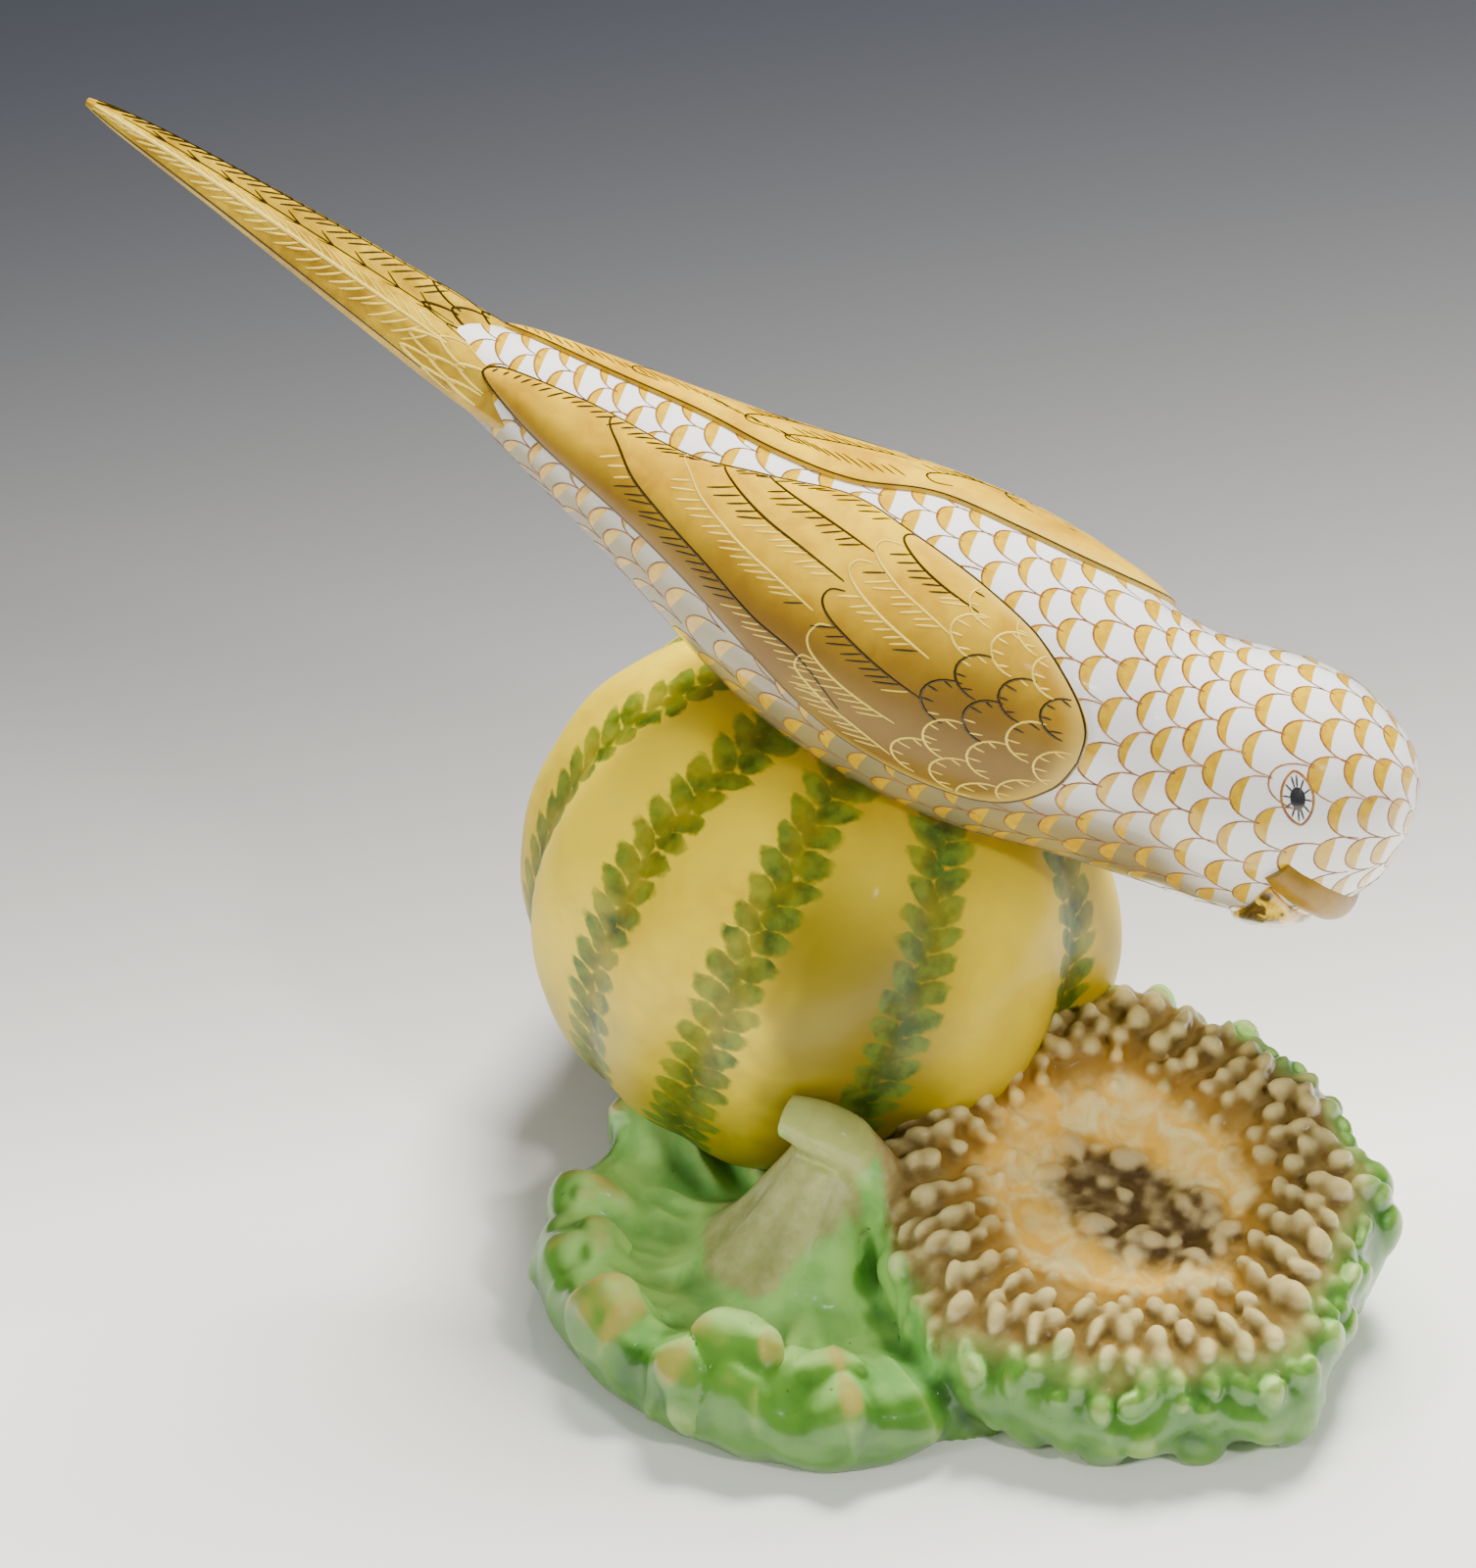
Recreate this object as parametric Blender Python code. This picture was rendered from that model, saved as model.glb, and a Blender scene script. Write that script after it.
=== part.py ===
"""A parrot figurine cast as one piece: a long-tailed bird lying along a ribbed gourd, with two
seed heads in front of it, one turned down with its stalk up and one turned up with its seeds showing.

Lengths in this file are millimetres until a mesh is written. +X is the way the bird faces, +Z is up,
and the origin is on the underside, where the two seed heads join.
"""

import math

import bmesh
import bpy
import numpy as np

MM = 0.001
PART = "parrot_figurine"
SIZE = 1.0

FLOOR_SINK = 3.0 * SIZE
BIRD_Y = 35.0 * SIZE

# Bird: x, z, half height and half width of each section of the body, from tail to brow.
BODY = [
    (-91.0, 142.5, 0.6, 0.8),
    (-86.5, 139.6, 4.0, 6.0),
    (-80.5, 135.6, 6.4, 8.8),
    (-72.0, 130.2, 8.6, 11.4),
    (-60.5, 123.0, 11.6, 14.4),
    (-47.1, 114.4, 15.4, 18.2),
    (-34.5, 106.6, 19.6, 22.0),
    (-22.6, 100.2, 22.8, 24.4),
    (-10.7, 94.8, 24.4, 25.3),
    (0.4, 90.2, 24.4, 25.0),
    (11.5, 86.0, 23.0, 23.4),
    (21.1, 82.0, 21.3, 21.2),
    (30.0, 79.2, 20.7, 20.1),
    (38.4, 77.4, 21.2, 20.4),
    (46.3, 75.9, 21.2, 20.0),
    (53.8, 74.3, 19.3, 18.2),
    (60.2, 72.9, 15.2, 14.3),
    (64.7, 71.6, 9.0, 8.6),
    (66.4, 71.0, 0.4, 0.4),
]
# Tail: the same four numbers, from the tip to where it is hidden in the body.
TAIL = [
    (-144.6, 176.4, 0.5, 0.8),
    (-140.0, 173.8, 1.3, 2.2),
    (-132.0, 169.1, 2.1, 3.7),
    (-122.0, 162.9, 2.8, 5.2),
    (-110.0, 155.2, 3.6, 7.0),
    (-98.0, 147.4, 4.3, 8.7),
    (-88.0, 140.7, 4.8, 9.9),
    (-80.0, 135.3, 5.0, 10.3),
    (-72.0, 129.8, 4.6, 9.2),
    (-64.0, 124.2, 2.0, 5.0),
]
TAIL_RIDGE = 0.75

# Wing outlines on the body: section number of BODY, and the angle in degrees from the back's middle.
WING_NEAR = [
    (10.27, 69.5),
    (10.12, 84.0),
    (9.55, 98.5),
    (8.60, 103.0),
    (7.30, 101.5),
    (5.90, 92.0),
    (4.50, 83.0),
    (3.10, 77.0),
    (2.20, 67.0),
    (1.60, 53.0),
    (1.95, 35.0),
    (3.20, 24.5),
    (4.30, 25.0),
    (5.10, 15.0),
    (6.05, 7.0),
    (7.00, 14.5),
    (8.10, 23.5),
    (9.10, 32.5),
    (9.80, 45.0),
    (10.17, 57.0),
]
WING_FAR = [
    (10.95, 60.0),
    (10.85, 78.0),
    (10.10, 93.0),
    (8.90, 100.0),
    (7.30, 101.5),
    (5.90, 92.0),
    (4.50, 83.0),
    (3.10, 77.0),
    (2.20, 67.0),
    (1.60, 53.0),
    (1.95, 35.0),
    (3.20, 19.0),
    (4.30, 12.5),
    (5.10, 3.5),
    (6.05, 1.0),
    (7.10, 11.0),
    (8.30, 9.5),
    (9.40, 12.0),
    (10.30, 22.0),
    (10.80, 40.0),
]
WING_HUB = (6.4, 60.0)
WING_LIFT = 2.3 * SIZE
WING_ROOT = 3.0 * SIZE

# Beak and the band above it.
BEAK = [
    (48.5, 61.0, 3.2, 3.2),
    (47.8, 58.0, 5.6, 6.0),
    (46.3, 55.2, 5.6, 6.0),
    (44.2, 53.0, 4.4, 4.8),
    (41.8, 51.3, 2.6, 2.9),
    (39.8, 50.5, 0.4, 0.4),
]
# The band over the beak: section of BODY, angle from the back's middle, and radius.
CERE = [
    (14.35, 91.0, 1.8),
    (14.60, 96.5, 2.4),
    (15.05, 104.0, 2.7),
    (15.60, 120.0, 2.9),
    (16.05, 148.0, 3.0),
    (16.15, 180.0, 3.0),
    (16.05, 212.0, 3.0),
    (15.60, 240.0, 2.9),
    (15.05, 256.0, 2.7),
    (14.60, 263.5, 2.4),
    (14.35, 269.0, 1.8),
]
CERE_OUT = -0.9

# Gourd: a ribbed ball leaning to the bird's front right.
GOURD_CENTRE = (-28.8 * SIZE, 37.3 * SIZE, 40.0 * SIZE)
GOURD_EQUATOR = 49.8 * SIZE
GOURD_POLE = 43.4 * SIZE
GOURD_AXIS = (0.315, 0.210, 0.926)
GOURD_GROOVE = 2.7 * SIZE
GOURD_GROOVES = [-85.0, -52.0, -23.0, 11.0, 56.0, 92.0, 129.0, 165.0, 202.0, 238.0]

# Head turned down: height against radius, each as a share or in millimetres, from the middle out.
DOWN_CENTRE = (-22.5 * SIZE, -19.5 * SIZE)
DOWN_RADIUS = 38.0 * SIZE
DOWN_PROFILE = [
    (0.00, 21.0),
    (0.12, 18.5),
    (0.24, 14.0),
    (0.36, 10.6),
    (0.50, 8.6),
    (0.64, 9.0),
    (0.75, 13.0),
    (0.84, 17.6),
    (0.92, 18.0),
    (0.98, 14.6),
    (1.02, 10.0),
    (1.00, 5.0),
    (0.94, 0.6),
    (0.88, -3.0),
    (0.50, -3.0),
    (0.00, -3.0),
]
# Angle in degrees, height in millimetres and width in degrees of each lump of its frilled rim.
DOWN_LUMPS = [
    (-176.0, 2.0, 8.0),
    (-158.0, 4.2, 9.0),
    (-136.0, 3.6, 9.0),
    (-111.0, 3.4, 9.0),
    (-88.0, 6.2, 9.0),
    (-64.0, 3.2, 9.0),
    (-46.0, 3.6, 8.0),
    (150.0, 3.2, 8.0),
    (168.0, 3.0, 7.0),
    (128.0, 4.0, 9.0),
    (108.0, 2.6, 9.0),
    (80.0, 2.0, 10.0),
]

# Stalk: x, y, z and radius along it, from its cut end over and down to the join of the two heads.
STALK = [
    (-23.2, -13.4, 35.4, 4.2),
    (-18.6, -14.0, 34.6, 4.7),
    (-13.8, -14.4, 32.2, 5.0),
    (-9.8, -14.0, 27.0, 5.4),
    (-6.6, -12.4, 17.0, 6.4),
    (-4.8, -10.8, 4.0, 7.4),
]
FOOT_TOP = (-15.4, -13.2, 30.0)
FOOT_BASE = (-24.0, -20.6, 4.0)
FOOT_RADII = (6.6, 18.6)

# Head turned up: the same kind of profile, on a plane that falls towards the front.
UP_CENTRE = (30.5 * SIZE, -6.8 * SIZE)
UP_RADIUS = 39.8 * SIZE
UP_HEIGHT = 27.0 * SIZE
UP_FALL = 0.225
UP_TURN = 13.0
# Share of the radius and height over the plane; SEED_FROM to SEED_TO carries the seeds.
UP_PROFILE = [
    (0.00, -5.6),
    (0.20, -5.2),
    (0.36, -4.8),
    (0.48, -3.4),
    (0.56, -0.8),
    (0.66, 0.6),
    (0.78, 1.0),
    (0.90, -0.6),
    (1.00, -6.4),
]
# Share of the radius and share of the edge's height, down the wall.
UP_WALL = [
    (1.00, 1.00),
    (1.03, 0.72),
    (1.01, 0.46),
    (0.95, 0.20),
    (0.88, 0.00),
]
SEED_FROM = 0.54
SEED_TO = 0.94
SEED_ROWS = 24
SEED_RINGS = 3
SEED_HEIGHT = 1.9 * SIZE

SLAB_CENTRE = (2.0 * SIZE, -12.0 * SIZE)
SLAB_HALF = (30.0 * SIZE, 33.5 * SIZE)
SLAB_TOP = 8.0 * SIZE

BODY_MESH = (32, 32)
TAIL_MESH = (16, 20)
WING_MESH = (40, 10)
GOURD_MESH = (50, 16)
DOWN_MESH = (62, 16)
UP_MESH = (96, 22)
STALK_MESH = (14, 12)


def spline(rows, at):
    """Catmull-Rom values of a table of rows at each position, counted in rows."""
    rows = np.asarray(rows, float)
    last = len(rows) - 1
    at = np.clip(np.asarray(at, float), 0.0, last)
    low = np.minimum(np.floor(at).astype(int), last - 1)
    part = (at - low)[..., None]
    p0 = rows[np.maximum(low - 1, 0)]
    p1 = rows[low]
    p2 = rows[low + 1]
    p3 = rows[np.minimum(low + 2, last)]
    bend = (p2 - p0) * part
    bend += (2 * p0 - 5 * p1 + 4 * p2 - p3) * part**2
    bend += (3 * p1 - p0 - 3 * p2 + p3) * part**3
    return p1 + 0.5 * bend


def loft(rows, at, angle, ridge=0.0):
    """Points of a loft whose sections stand square to its centre line, angle 0 at the back's middle."""
    row = spline(rows, at)
    ahead = spline(rows, np.asarray(at) + 0.02) - spline(rows, np.asarray(at) - 0.02)
    length = np.hypot(ahead[..., 0], ahead[..., 1])
    up_x = -ahead[..., 1] / length
    up_z = ahead[..., 0] / length
    high = np.cos(angle) * np.maximum(row[..., 2], 0.05)
    high = high * (1 - ridge * (1 - np.abs(np.cos(angle))) * (np.cos(angle) > 0))
    wide = np.sin(angle) * np.maximum(row[..., 3], 0.05)
    return np.stack([row[..., 0] + up_x * high, -wide, row[..., 1] + up_z * high], -1) * SIZE


def on_bird(points):
    return points + np.array([0.0, BIRD_Y, 0.0])


def ball_shape(segments, rings):
    """A unit ball's bmesh with each vertex's turn about its axis and share of the way from its top."""
    mesh = bmesh.new()
    bmesh.ops.create_uvsphere(mesh, u_segments=segments, v_segments=rings, radius=1.0)
    mesh.verts.ensure_lookup_table()
    unit = np.array([vertex.co[:] for vertex in mesh.verts])
    turn = np.arctan2(unit[:, 1], unit[:, 0])
    down = np.arccos(np.clip(unit[:, 2], -1.0, 1.0)) / math.pi
    return mesh, turn, down


def shaped(name, size, place):
    """An object made from a ball whose vertices go where place(turn, down) puts them."""
    mesh, turn, down = ball_shape(*size)
    points = place(turn, down) * MM
    for vertex, point in zip(mesh.verts, points):
        vertex.co = point
    if mesh.calc_volume(signed=True) < 0:
        bmesh.ops.reverse_faces(mesh, faces=mesh.faces)
    data = bpy.data.meshes.new(name)
    mesh.to_mesh(data)
    mesh.free()
    return bpy.data.objects.new(name, data)


def body_place(turn, down):
    return on_bird(loft(BODY, down * (len(BODY) - 1), turn))


def tail_place(turn, down):
    return on_bird(loft(TAIL, down * (len(TAIL) - 1), turn, TAIL_RIDGE))


def wing_place(rows, side):
    outline = np.array(rows + rows[:1])
    hub = np.array(WING_HUB)

    def place(turn, down):
        edge = spline(outline, np.mod(turn / (2 * math.pi), 1.0) * (len(outline) - 1))
        out = np.sin(down * math.pi)
        where = hub + (edge - hub) * out[:, None]
        angle = np.radians(where[:, 1])
        base = loft(BODY, where[:, 0], angle)
        step = 0.01
        along = loft(BODY, where[:, 0] + step, angle) - loft(BODY, where[:, 0] - step, angle)
        across = loft(BODY, where[:, 0], angle + step) - loft(BODY, where[:, 0], angle - step)
        outward = np.cross(across, along)
        outward /= np.linalg.norm(outward, axis=1)[:, None]
        centre = spline(BODY, where[:, 0])
        middle = np.stack([centre[:, 0], np.zeros(len(centre)), centre[:, 1]], -1) * SIZE
        flip = np.sign(np.sum(outward * (base - middle), axis=1))
        outward *= flip[:, None]
        rise = np.cos(down * math.pi)
        lift = np.where(rise > 0, WING_LIFT * np.sqrt(np.clip(rise, 0, 1)), WING_ROOT * rise)
        points = base + outward * (lift - 0.25)[:, None]
        points[:, 1] *= side
        return on_bird(points)

    return place


def beak_place(turn, down):
    return on_bird(loft(BEAK, down * (len(BEAK) - 1), turn))


def tube(path, radius, turn, down):
    """A round bar with closed ends along a path given as a function of the share of its length."""
    share = np.clip((down - 0.08) / 0.84, 0.0, 1.0)
    middle = path(share)
    ahead = path(share + 0.01) - path(share - 0.01)
    ahead /= np.linalg.norm(ahead, axis=1)[:, None]
    side = np.cross(ahead, np.array([0.21, 0.93, 0.31]))
    side /= np.linalg.norm(side, axis=1)[:, None]
    high = np.cross(side, ahead)
    reach = radius(share) * np.clip(np.sin(down * math.pi) / math.sin(0.08 * math.pi), 0.0, 1.0)
    return middle + reach[:, None] * (np.cos(turn)[:, None] * side + np.sin(turn)[:, None] * high)


def cere_place(turn, down):
    last = len(CERE) - 1

    def path(share):
        row = spline(CERE, share * last)
        angle = np.radians(row[:, 1])
        base = loft(BODY, row[:, 0], angle)
        return base + (base - loft(BODY, row[:, 0], angle + math.pi)) * CERE_OUT / 40.0

    def radius(share):
        return spline(CERE, share * last)[:, 2] * SIZE

    return on_bird(tube(path, radius, turn, down))


def gourd_axes():
    up = np.array(GOURD_AXIS)
    up /= np.linalg.norm(up)
    turn = math.radians(UP_TURN)
    front = np.array([math.sin(turn), -math.cos(turn), 0.0])
    front -= front.dot(up) * up
    front /= np.linalg.norm(front)
    return front, np.cross(up, front), up


def gourd_bulge(turn):
    """0 in a groove and 1 on the middle of a rib, for a turn from the viewer's side."""
    degrees = np.mod(np.degrees(turn) - GOURD_GROOVES[0], 360.0)
    edges = np.array(GOURD_GROOVES + [GOURD_GROOVES[0] + 360.0]) - GOURD_GROOVES[0]
    rib = np.clip(np.searchsorted(edges, degrees, side="right") - 1, 0, len(edges) - 2)
    share = (degrees - edges[rib]) / (edges[rib + 1] - edges[rib])
    return np.sin(math.pi * share) ** 0.8


def gourd_place(turn, down):
    front, right, up = gourd_axes()
    level = np.sin(down * math.pi)
    high = np.cos(down * math.pi)
    reach = GOURD_EQUATOR - GOURD_GROOVE * (1 - gourd_bulge(turn)) * level**0.6
    flat = reach * level ** np.where(high < 0, 0.86, 1.0)
    points = flat[:, None] * (np.cos(turn)[:, None] * front + np.sin(turn)[:, None] * right)
    points += (GOURD_POLE * high)[:, None] * up + np.array(GOURD_CENTRE)
    points[:, 2] = np.maximum(points[:, 2], -FLOOR_SINK)
    return points


def lumps(table, degrees):
    total = np.zeros_like(degrees)
    for angle, height, width in table:
        off = np.mod(degrees - angle + 180.0, 360.0) - 180.0
        total += height * np.exp(-((off / width) ** 2))
    return total


def down_place(turn, down):
    """The head turned down, with a frilled rim around a hollow."""
    row = spline(DOWN_PROFILE, down * (len(DOWN_PROFILE) - 1))
    degrees = np.degrees(turn)
    lump = lumps(DOWN_LUMPS, degrees)
    share = row[:, 0]
    rim = np.exp(-(((share - 0.86) / 0.12) ** 2)) * (row[:, 1] > 3.0)
    wide = 1.0 + 0.11 * np.exp(-(((np.mod(degrees + 56.0 + 180.0, 360.0) - 180.0) / 30.0) ** 2))
    ripple = 1.0 + 0.018 * np.sin(9 * turn + 0.6) + 0.012 * np.sin(17 * turn + 2.0)
    reach = DOWN_RADIUS * share * wide * np.where(share > 0.7, ripple, 1.0)
    reach += 0.28 * lump * np.where(share > 0.8, 1.0, 0.0)
    valley = np.exp(-(((share - 0.5) / 0.2) ** 2)) * (row[:, 1] > 3.0)
    z = row[:, 1] * SIZE + rim * (lump - 1.6) + valley * 1.1 * np.sin(7 * turn + 1.0)
    x = DOWN_CENTRE[0] + reach * np.cos(turn)
    y = DOWN_CENTRE[1] + reach * np.sin(turn)
    return np.stack([x, y, z], -1)


def up_ring(ring, rings):
    """Share of the radius at a ring of the face, or 2 to 3 down the wall, and 4 under its middle."""
    seeds = SEED_RINGS * 4
    dish = 3
    wall = rings - dish - seeds - 2
    if ring == rings:
        share = 4.0
    elif ring <= dish:
        share = SEED_FROM * ring / dish
    elif ring <= dish + seeds:
        share = SEED_FROM + (SEED_TO - SEED_FROM) * (ring - dish) / seeds
    elif ring == dish + seeds + 1:
        share = 1.0
    else:
        share = 2.0 + (ring - dish - seeds - 1) / wall
    return share


def up_place(turn, down):
    """The head turned up: a dished face with rows of seeds, and a lumpy wall."""
    rings = UP_MESH[1]
    ring = np.rint(down * rings).astype(int)
    where = np.array([up_ring(step, rings) for step in range(rings + 1)])[ring]
    profile = np.array(UP_PROFILE)
    wall = np.array(UP_WALL)
    is_face = where <= 1.0
    high = np.interp(where, profile[:, 0], profile[:, 1]) * SIZE
    row = spline(wall, (where - 2.0) * (len(wall) - 1))
    share = np.where(is_face, where, row[:, 0])
    share = np.where(where > 3.5, 0.0, share)
    lobes = 0.030 * np.sin(5 * turn + 0.5) + 0.022 * np.sin(8 * turn + 2.2)
    lobes += 0.016 * np.sin(13 * turn + 1.0) + 0.014 * np.sin(21 * turn)
    lobes += 0.045 * np.exp(-(((turn + 0.80) / 0.28) ** 2)) - 0.02
    reach = UP_RADIUS * share * (1.0 + lobes * np.clip(share / 0.8, 0.0, 1.0) ** 2)
    across = reach * np.cos(turn)
    depth = reach * np.sin(turn)
    plane = UP_HEIGHT + UP_FALL * depth
    column = np.clip(np.cos(SEED_ROWS * turn), 0.0, 1.0)
    phase = (where - SEED_FROM) / (SEED_TO - SEED_FROM) * SEED_RINGS
    bead = 0.5 - 0.5 * np.cos(2 * math.pi * phase)
    inside = (where > SEED_FROM) & (where < SEED_TO)
    seeds = SEED_HEIGHT * column * (0.35 + 0.65 * bead) * inside
    edge = plane + UP_PROFILE[-1][1] * SIZE
    z = np.where(is_face, plane + high + seeds, edge * np.maximum(row[:, 1], 0.0))
    z = np.where(where >= 2.999, -FLOOR_SINK, z)
    tilt = math.radians(UP_TURN)
    x = UP_CENTRE[0] + across * math.cos(tilt) - depth * math.sin(tilt)
    y = UP_CENTRE[1] + across * math.sin(tilt) + depth * math.cos(tilt)
    return np.stack([x, y, z], -1)


def stalk_place(turn, down):
    rows = np.array(STALK) * SIZE
    last = len(rows) - 1
    return tube(
        lambda share: spline(rows, share * last)[:, :3],
        lambda share: spline(rows, share * last)[:, 3],
        turn,
        down,
    )


def foot_place(turn, down):
    """The ribbed foot of the stalk, flaring into the hollow."""
    top = np.array(FOOT_TOP) * SIZE
    base = np.array(FOOT_BASE) * SIZE
    share = np.clip((down - 0.08) / 0.84, 0.0, 1.0)
    middle = top + (base - top) * share[:, None]
    reach = FOOT_RADII[0] + (FOOT_RADII[1] - FOOT_RADII[0]) * share**2.0
    reach = reach * SIZE * (1 + 0.10 * np.sin(7 * turn + 0.4))
    reach = reach * np.clip(np.sin(down * math.pi) / math.sin(0.08 * math.pi), 0.0, 1.0)
    flat = np.stack([np.cos(turn), np.sin(turn), np.zeros_like(turn)], -1)
    return middle + reach[:, None] * flat


def slab_place(turn, down):
    level = np.sin(down * math.pi) ** 0.6
    x = SLAB_CENTRE[0] + SLAB_HALF[0] * level * np.cos(turn)
    y = SLAB_CENTRE[1] + SLAB_HALF[1] * level * np.sin(turn)
    z = np.cos(down * math.pi) * SLAB_TOP
    return np.stack([x, y, np.maximum(z, -FLOOR_SINK)], -1)


def boolean(target, other, operation):
    modifier = target.modifiers.new(other.name, "BOOLEAN")
    modifier.operation = operation
    modifier.solver = "EXACT"
    modifier.object = other
    modifier.use_self = True


def porcelain():
    material = bpy.data.materials.new("glazed_body")
    material.use_nodes = True
    shader = material.node_tree.nodes["Principled BSDF"]
    shader.inputs["Base Color"].default_value = (0.62, 0.48, 0.20, 1.0)
    shader.inputs["Roughness"].default_value = 0.15
    return material


def main():
    for existing in list(bpy.data.objects):
        bpy.data.objects.remove(existing, do_unlink=True)
    scene = bpy.context.scene
    kept = bpy.data.collections.new(PART)
    helpers = bpy.data.collections.new("helpers")
    scene.collection.children.link(kept)
    scene.collection.children.link(helpers)
    helpers.hide_render = True

    figurine = shaped(PART, BODY_MESH, body_place)
    kept.objects.link(figurine)
    pieces = [
        shaped("tail", TAIL_MESH, tail_place),
        shaped("wing_right", WING_MESH, wing_place(WING_NEAR, 1.0)),
        shaped("wing_left", WING_MESH, wing_place(WING_FAR, -1.0)),
        shaped("cere", (24, 12), cere_place),
        shaped("beak", (18, 12), beak_place),
        shaped("gourd", GOURD_MESH, gourd_place),
        shaped("head_down", DOWN_MESH, down_place),
        shaped("head_up", UP_MESH, up_place),
        shaped("foot", (28, 10), foot_place),
        shaped("stalk", STALK_MESH, stalk_place),
        shaped("slab", (32, 12), slab_place),
    ]
    for piece in pieces:
        helpers.objects.link(piece)
        piece.hide_render = True
        piece.display_type = "WIRE"
        boolean(figurine, piece, "UNION")

    ground = bmesh.new()
    bmesh.ops.create_cube(ground, size=1.0)
    data = bpy.data.meshes.new("ground")
    ground.to_mesh(data)
    ground.free()
    under = bpy.data.objects.new("ground", data)
    under.scale = (0.4, 0.4, 0.05)
    under.location = (0.0, 0.0, -0.025)
    under.hide_render = True
    under.display_type = "WIRE"
    helpers.objects.link(under)
    boolean(figurine, under, "DIFFERENCE")

    figurine.data.materials.append(porcelain())
    for polygon in figurine.data.polygons:
        polygon.use_smooth = True


main()
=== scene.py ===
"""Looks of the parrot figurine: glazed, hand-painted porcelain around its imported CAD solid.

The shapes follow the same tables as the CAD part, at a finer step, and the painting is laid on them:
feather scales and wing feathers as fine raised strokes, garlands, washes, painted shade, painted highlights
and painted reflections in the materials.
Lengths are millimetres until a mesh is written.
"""

import math

import bmesh
import bpy
import numpy as np
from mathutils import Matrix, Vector


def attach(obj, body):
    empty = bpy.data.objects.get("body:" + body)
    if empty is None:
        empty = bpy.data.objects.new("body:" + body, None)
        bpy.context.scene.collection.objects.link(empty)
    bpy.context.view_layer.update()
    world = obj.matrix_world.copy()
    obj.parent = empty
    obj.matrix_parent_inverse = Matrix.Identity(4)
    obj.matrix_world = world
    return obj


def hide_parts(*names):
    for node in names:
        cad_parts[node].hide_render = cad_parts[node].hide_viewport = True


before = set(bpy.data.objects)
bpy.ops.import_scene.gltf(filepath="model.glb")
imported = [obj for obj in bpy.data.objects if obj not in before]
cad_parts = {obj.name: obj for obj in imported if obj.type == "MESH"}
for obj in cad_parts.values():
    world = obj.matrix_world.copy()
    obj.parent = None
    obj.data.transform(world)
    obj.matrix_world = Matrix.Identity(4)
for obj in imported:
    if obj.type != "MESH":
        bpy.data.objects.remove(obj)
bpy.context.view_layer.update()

MM = 0.001
NODE = "parrot_figurine"
BIRD_Y = 35.0

# Bird's sections, tail to brow: x, z, half height, half width.
BODY = [
    (-91.0, 142.5, 0.6, 0.8),
    (-86.5, 139.6, 4.0, 6.0),
    (-80.5, 135.6, 6.4, 8.8),
    (-72.0, 130.2, 8.6, 11.4),
    (-60.5, 123.0, 11.6, 14.4),
    (-47.1, 114.4, 15.4, 18.2),
    (-34.5, 106.6, 19.6, 22.0),
    (-22.6, 100.2, 22.8, 24.4),
    (-10.7, 94.8, 24.4, 25.3),
    (0.4, 90.2, 24.4, 25.0),
    (11.5, 86.0, 23.0, 23.4),
    (21.1, 82.0, 21.3, 21.2),
    (30.0, 79.2, 20.7, 20.1),
    (38.4, 77.4, 21.2, 20.4),
    (46.3, 75.9, 21.2, 20.0),
    (53.8, 74.3, 19.3, 18.2),
    (60.2, 72.9, 15.2, 14.3),
    (64.7, 71.6, 9.0, 8.6),
    (66.4, 71.0, 0.4, 0.4),
]
TAIL = [
    (-144.6, 176.4, 0.5, 0.8),
    (-140.0, 173.8, 1.3, 2.2),
    (-132.0, 169.1, 2.1, 3.7),
    (-122.0, 162.9, 2.8, 5.2),
    (-110.0, 155.2, 3.6, 7.0),
    (-98.0, 147.4, 4.3, 8.7),
    (-88.0, 140.7, 4.8, 9.9),
    (-80.0, 135.3, 5.0, 10.3),
    (-72.0, 129.8, 4.6, 9.2),
    (-64.0, 124.2, 2.0, 5.0),
]
TAIL_RIDGE = 0.75

# Wing outlines on the body: section number, and degrees from the back's middle.
WING_NEAR = [
    (10.27, 69.5),
    (10.12, 84.0),
    (9.55, 98.5),
    (8.60, 103.0),
    (7.30, 101.5),
    (5.90, 92.0),
    (4.50, 83.0),
    (3.10, 77.0),
    (2.20, 67.0),
    (1.60, 53.0),
    (1.95, 35.0),
    (3.20, 24.5),
    (4.30, 25.0),
    (5.10, 15.0),
    (6.05, 7.0),
    (7.00, 14.5),
    (8.10, 23.5),
    (9.10, 32.5),
    (9.80, 45.0),
    (10.17, 57.0),
]
WING_FAR = [
    (10.95, 60.0),
    (10.85, 78.0),
    (10.10, 93.0),
    (8.90, 100.0),
    (7.30, 101.5),
    (5.90, 92.0),
    (4.50, 83.0),
    (3.10, 77.0),
    (2.20, 67.0),
    (1.60, 53.0),
    (1.95, 35.0),
    (3.20, 19.0),
    (4.30, 12.5),
    (5.10, 3.5),
    (6.05, 1.0),
    (7.10, 11.0),
    (8.30, 9.5),
    (9.40, 12.0),
    (10.30, 22.0),
    (10.80, 40.0),
]
# The tail's quill line, in degrees from its back's middle.
TAIL_QUILL = 34.0
# The soft ridge under the quill and the hollow between the two: width in degrees, share of the radius.
QUILL_RIDGE = (15.0, 0.16)
TAIL_HOLLOW = (26.0, 0.42)
# The wing's middle, and the degrees that weigh as much as one section in a bearing from it.
WING_HUB = (6.4, 60.0)
WING_WEIGHT = 12.0
# Height over the body, depth below it, and how far the edge is sunk.
WING_LIFT = 2.3
WING_ROOT = 3.0
WING_SINK = 0.25

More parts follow.
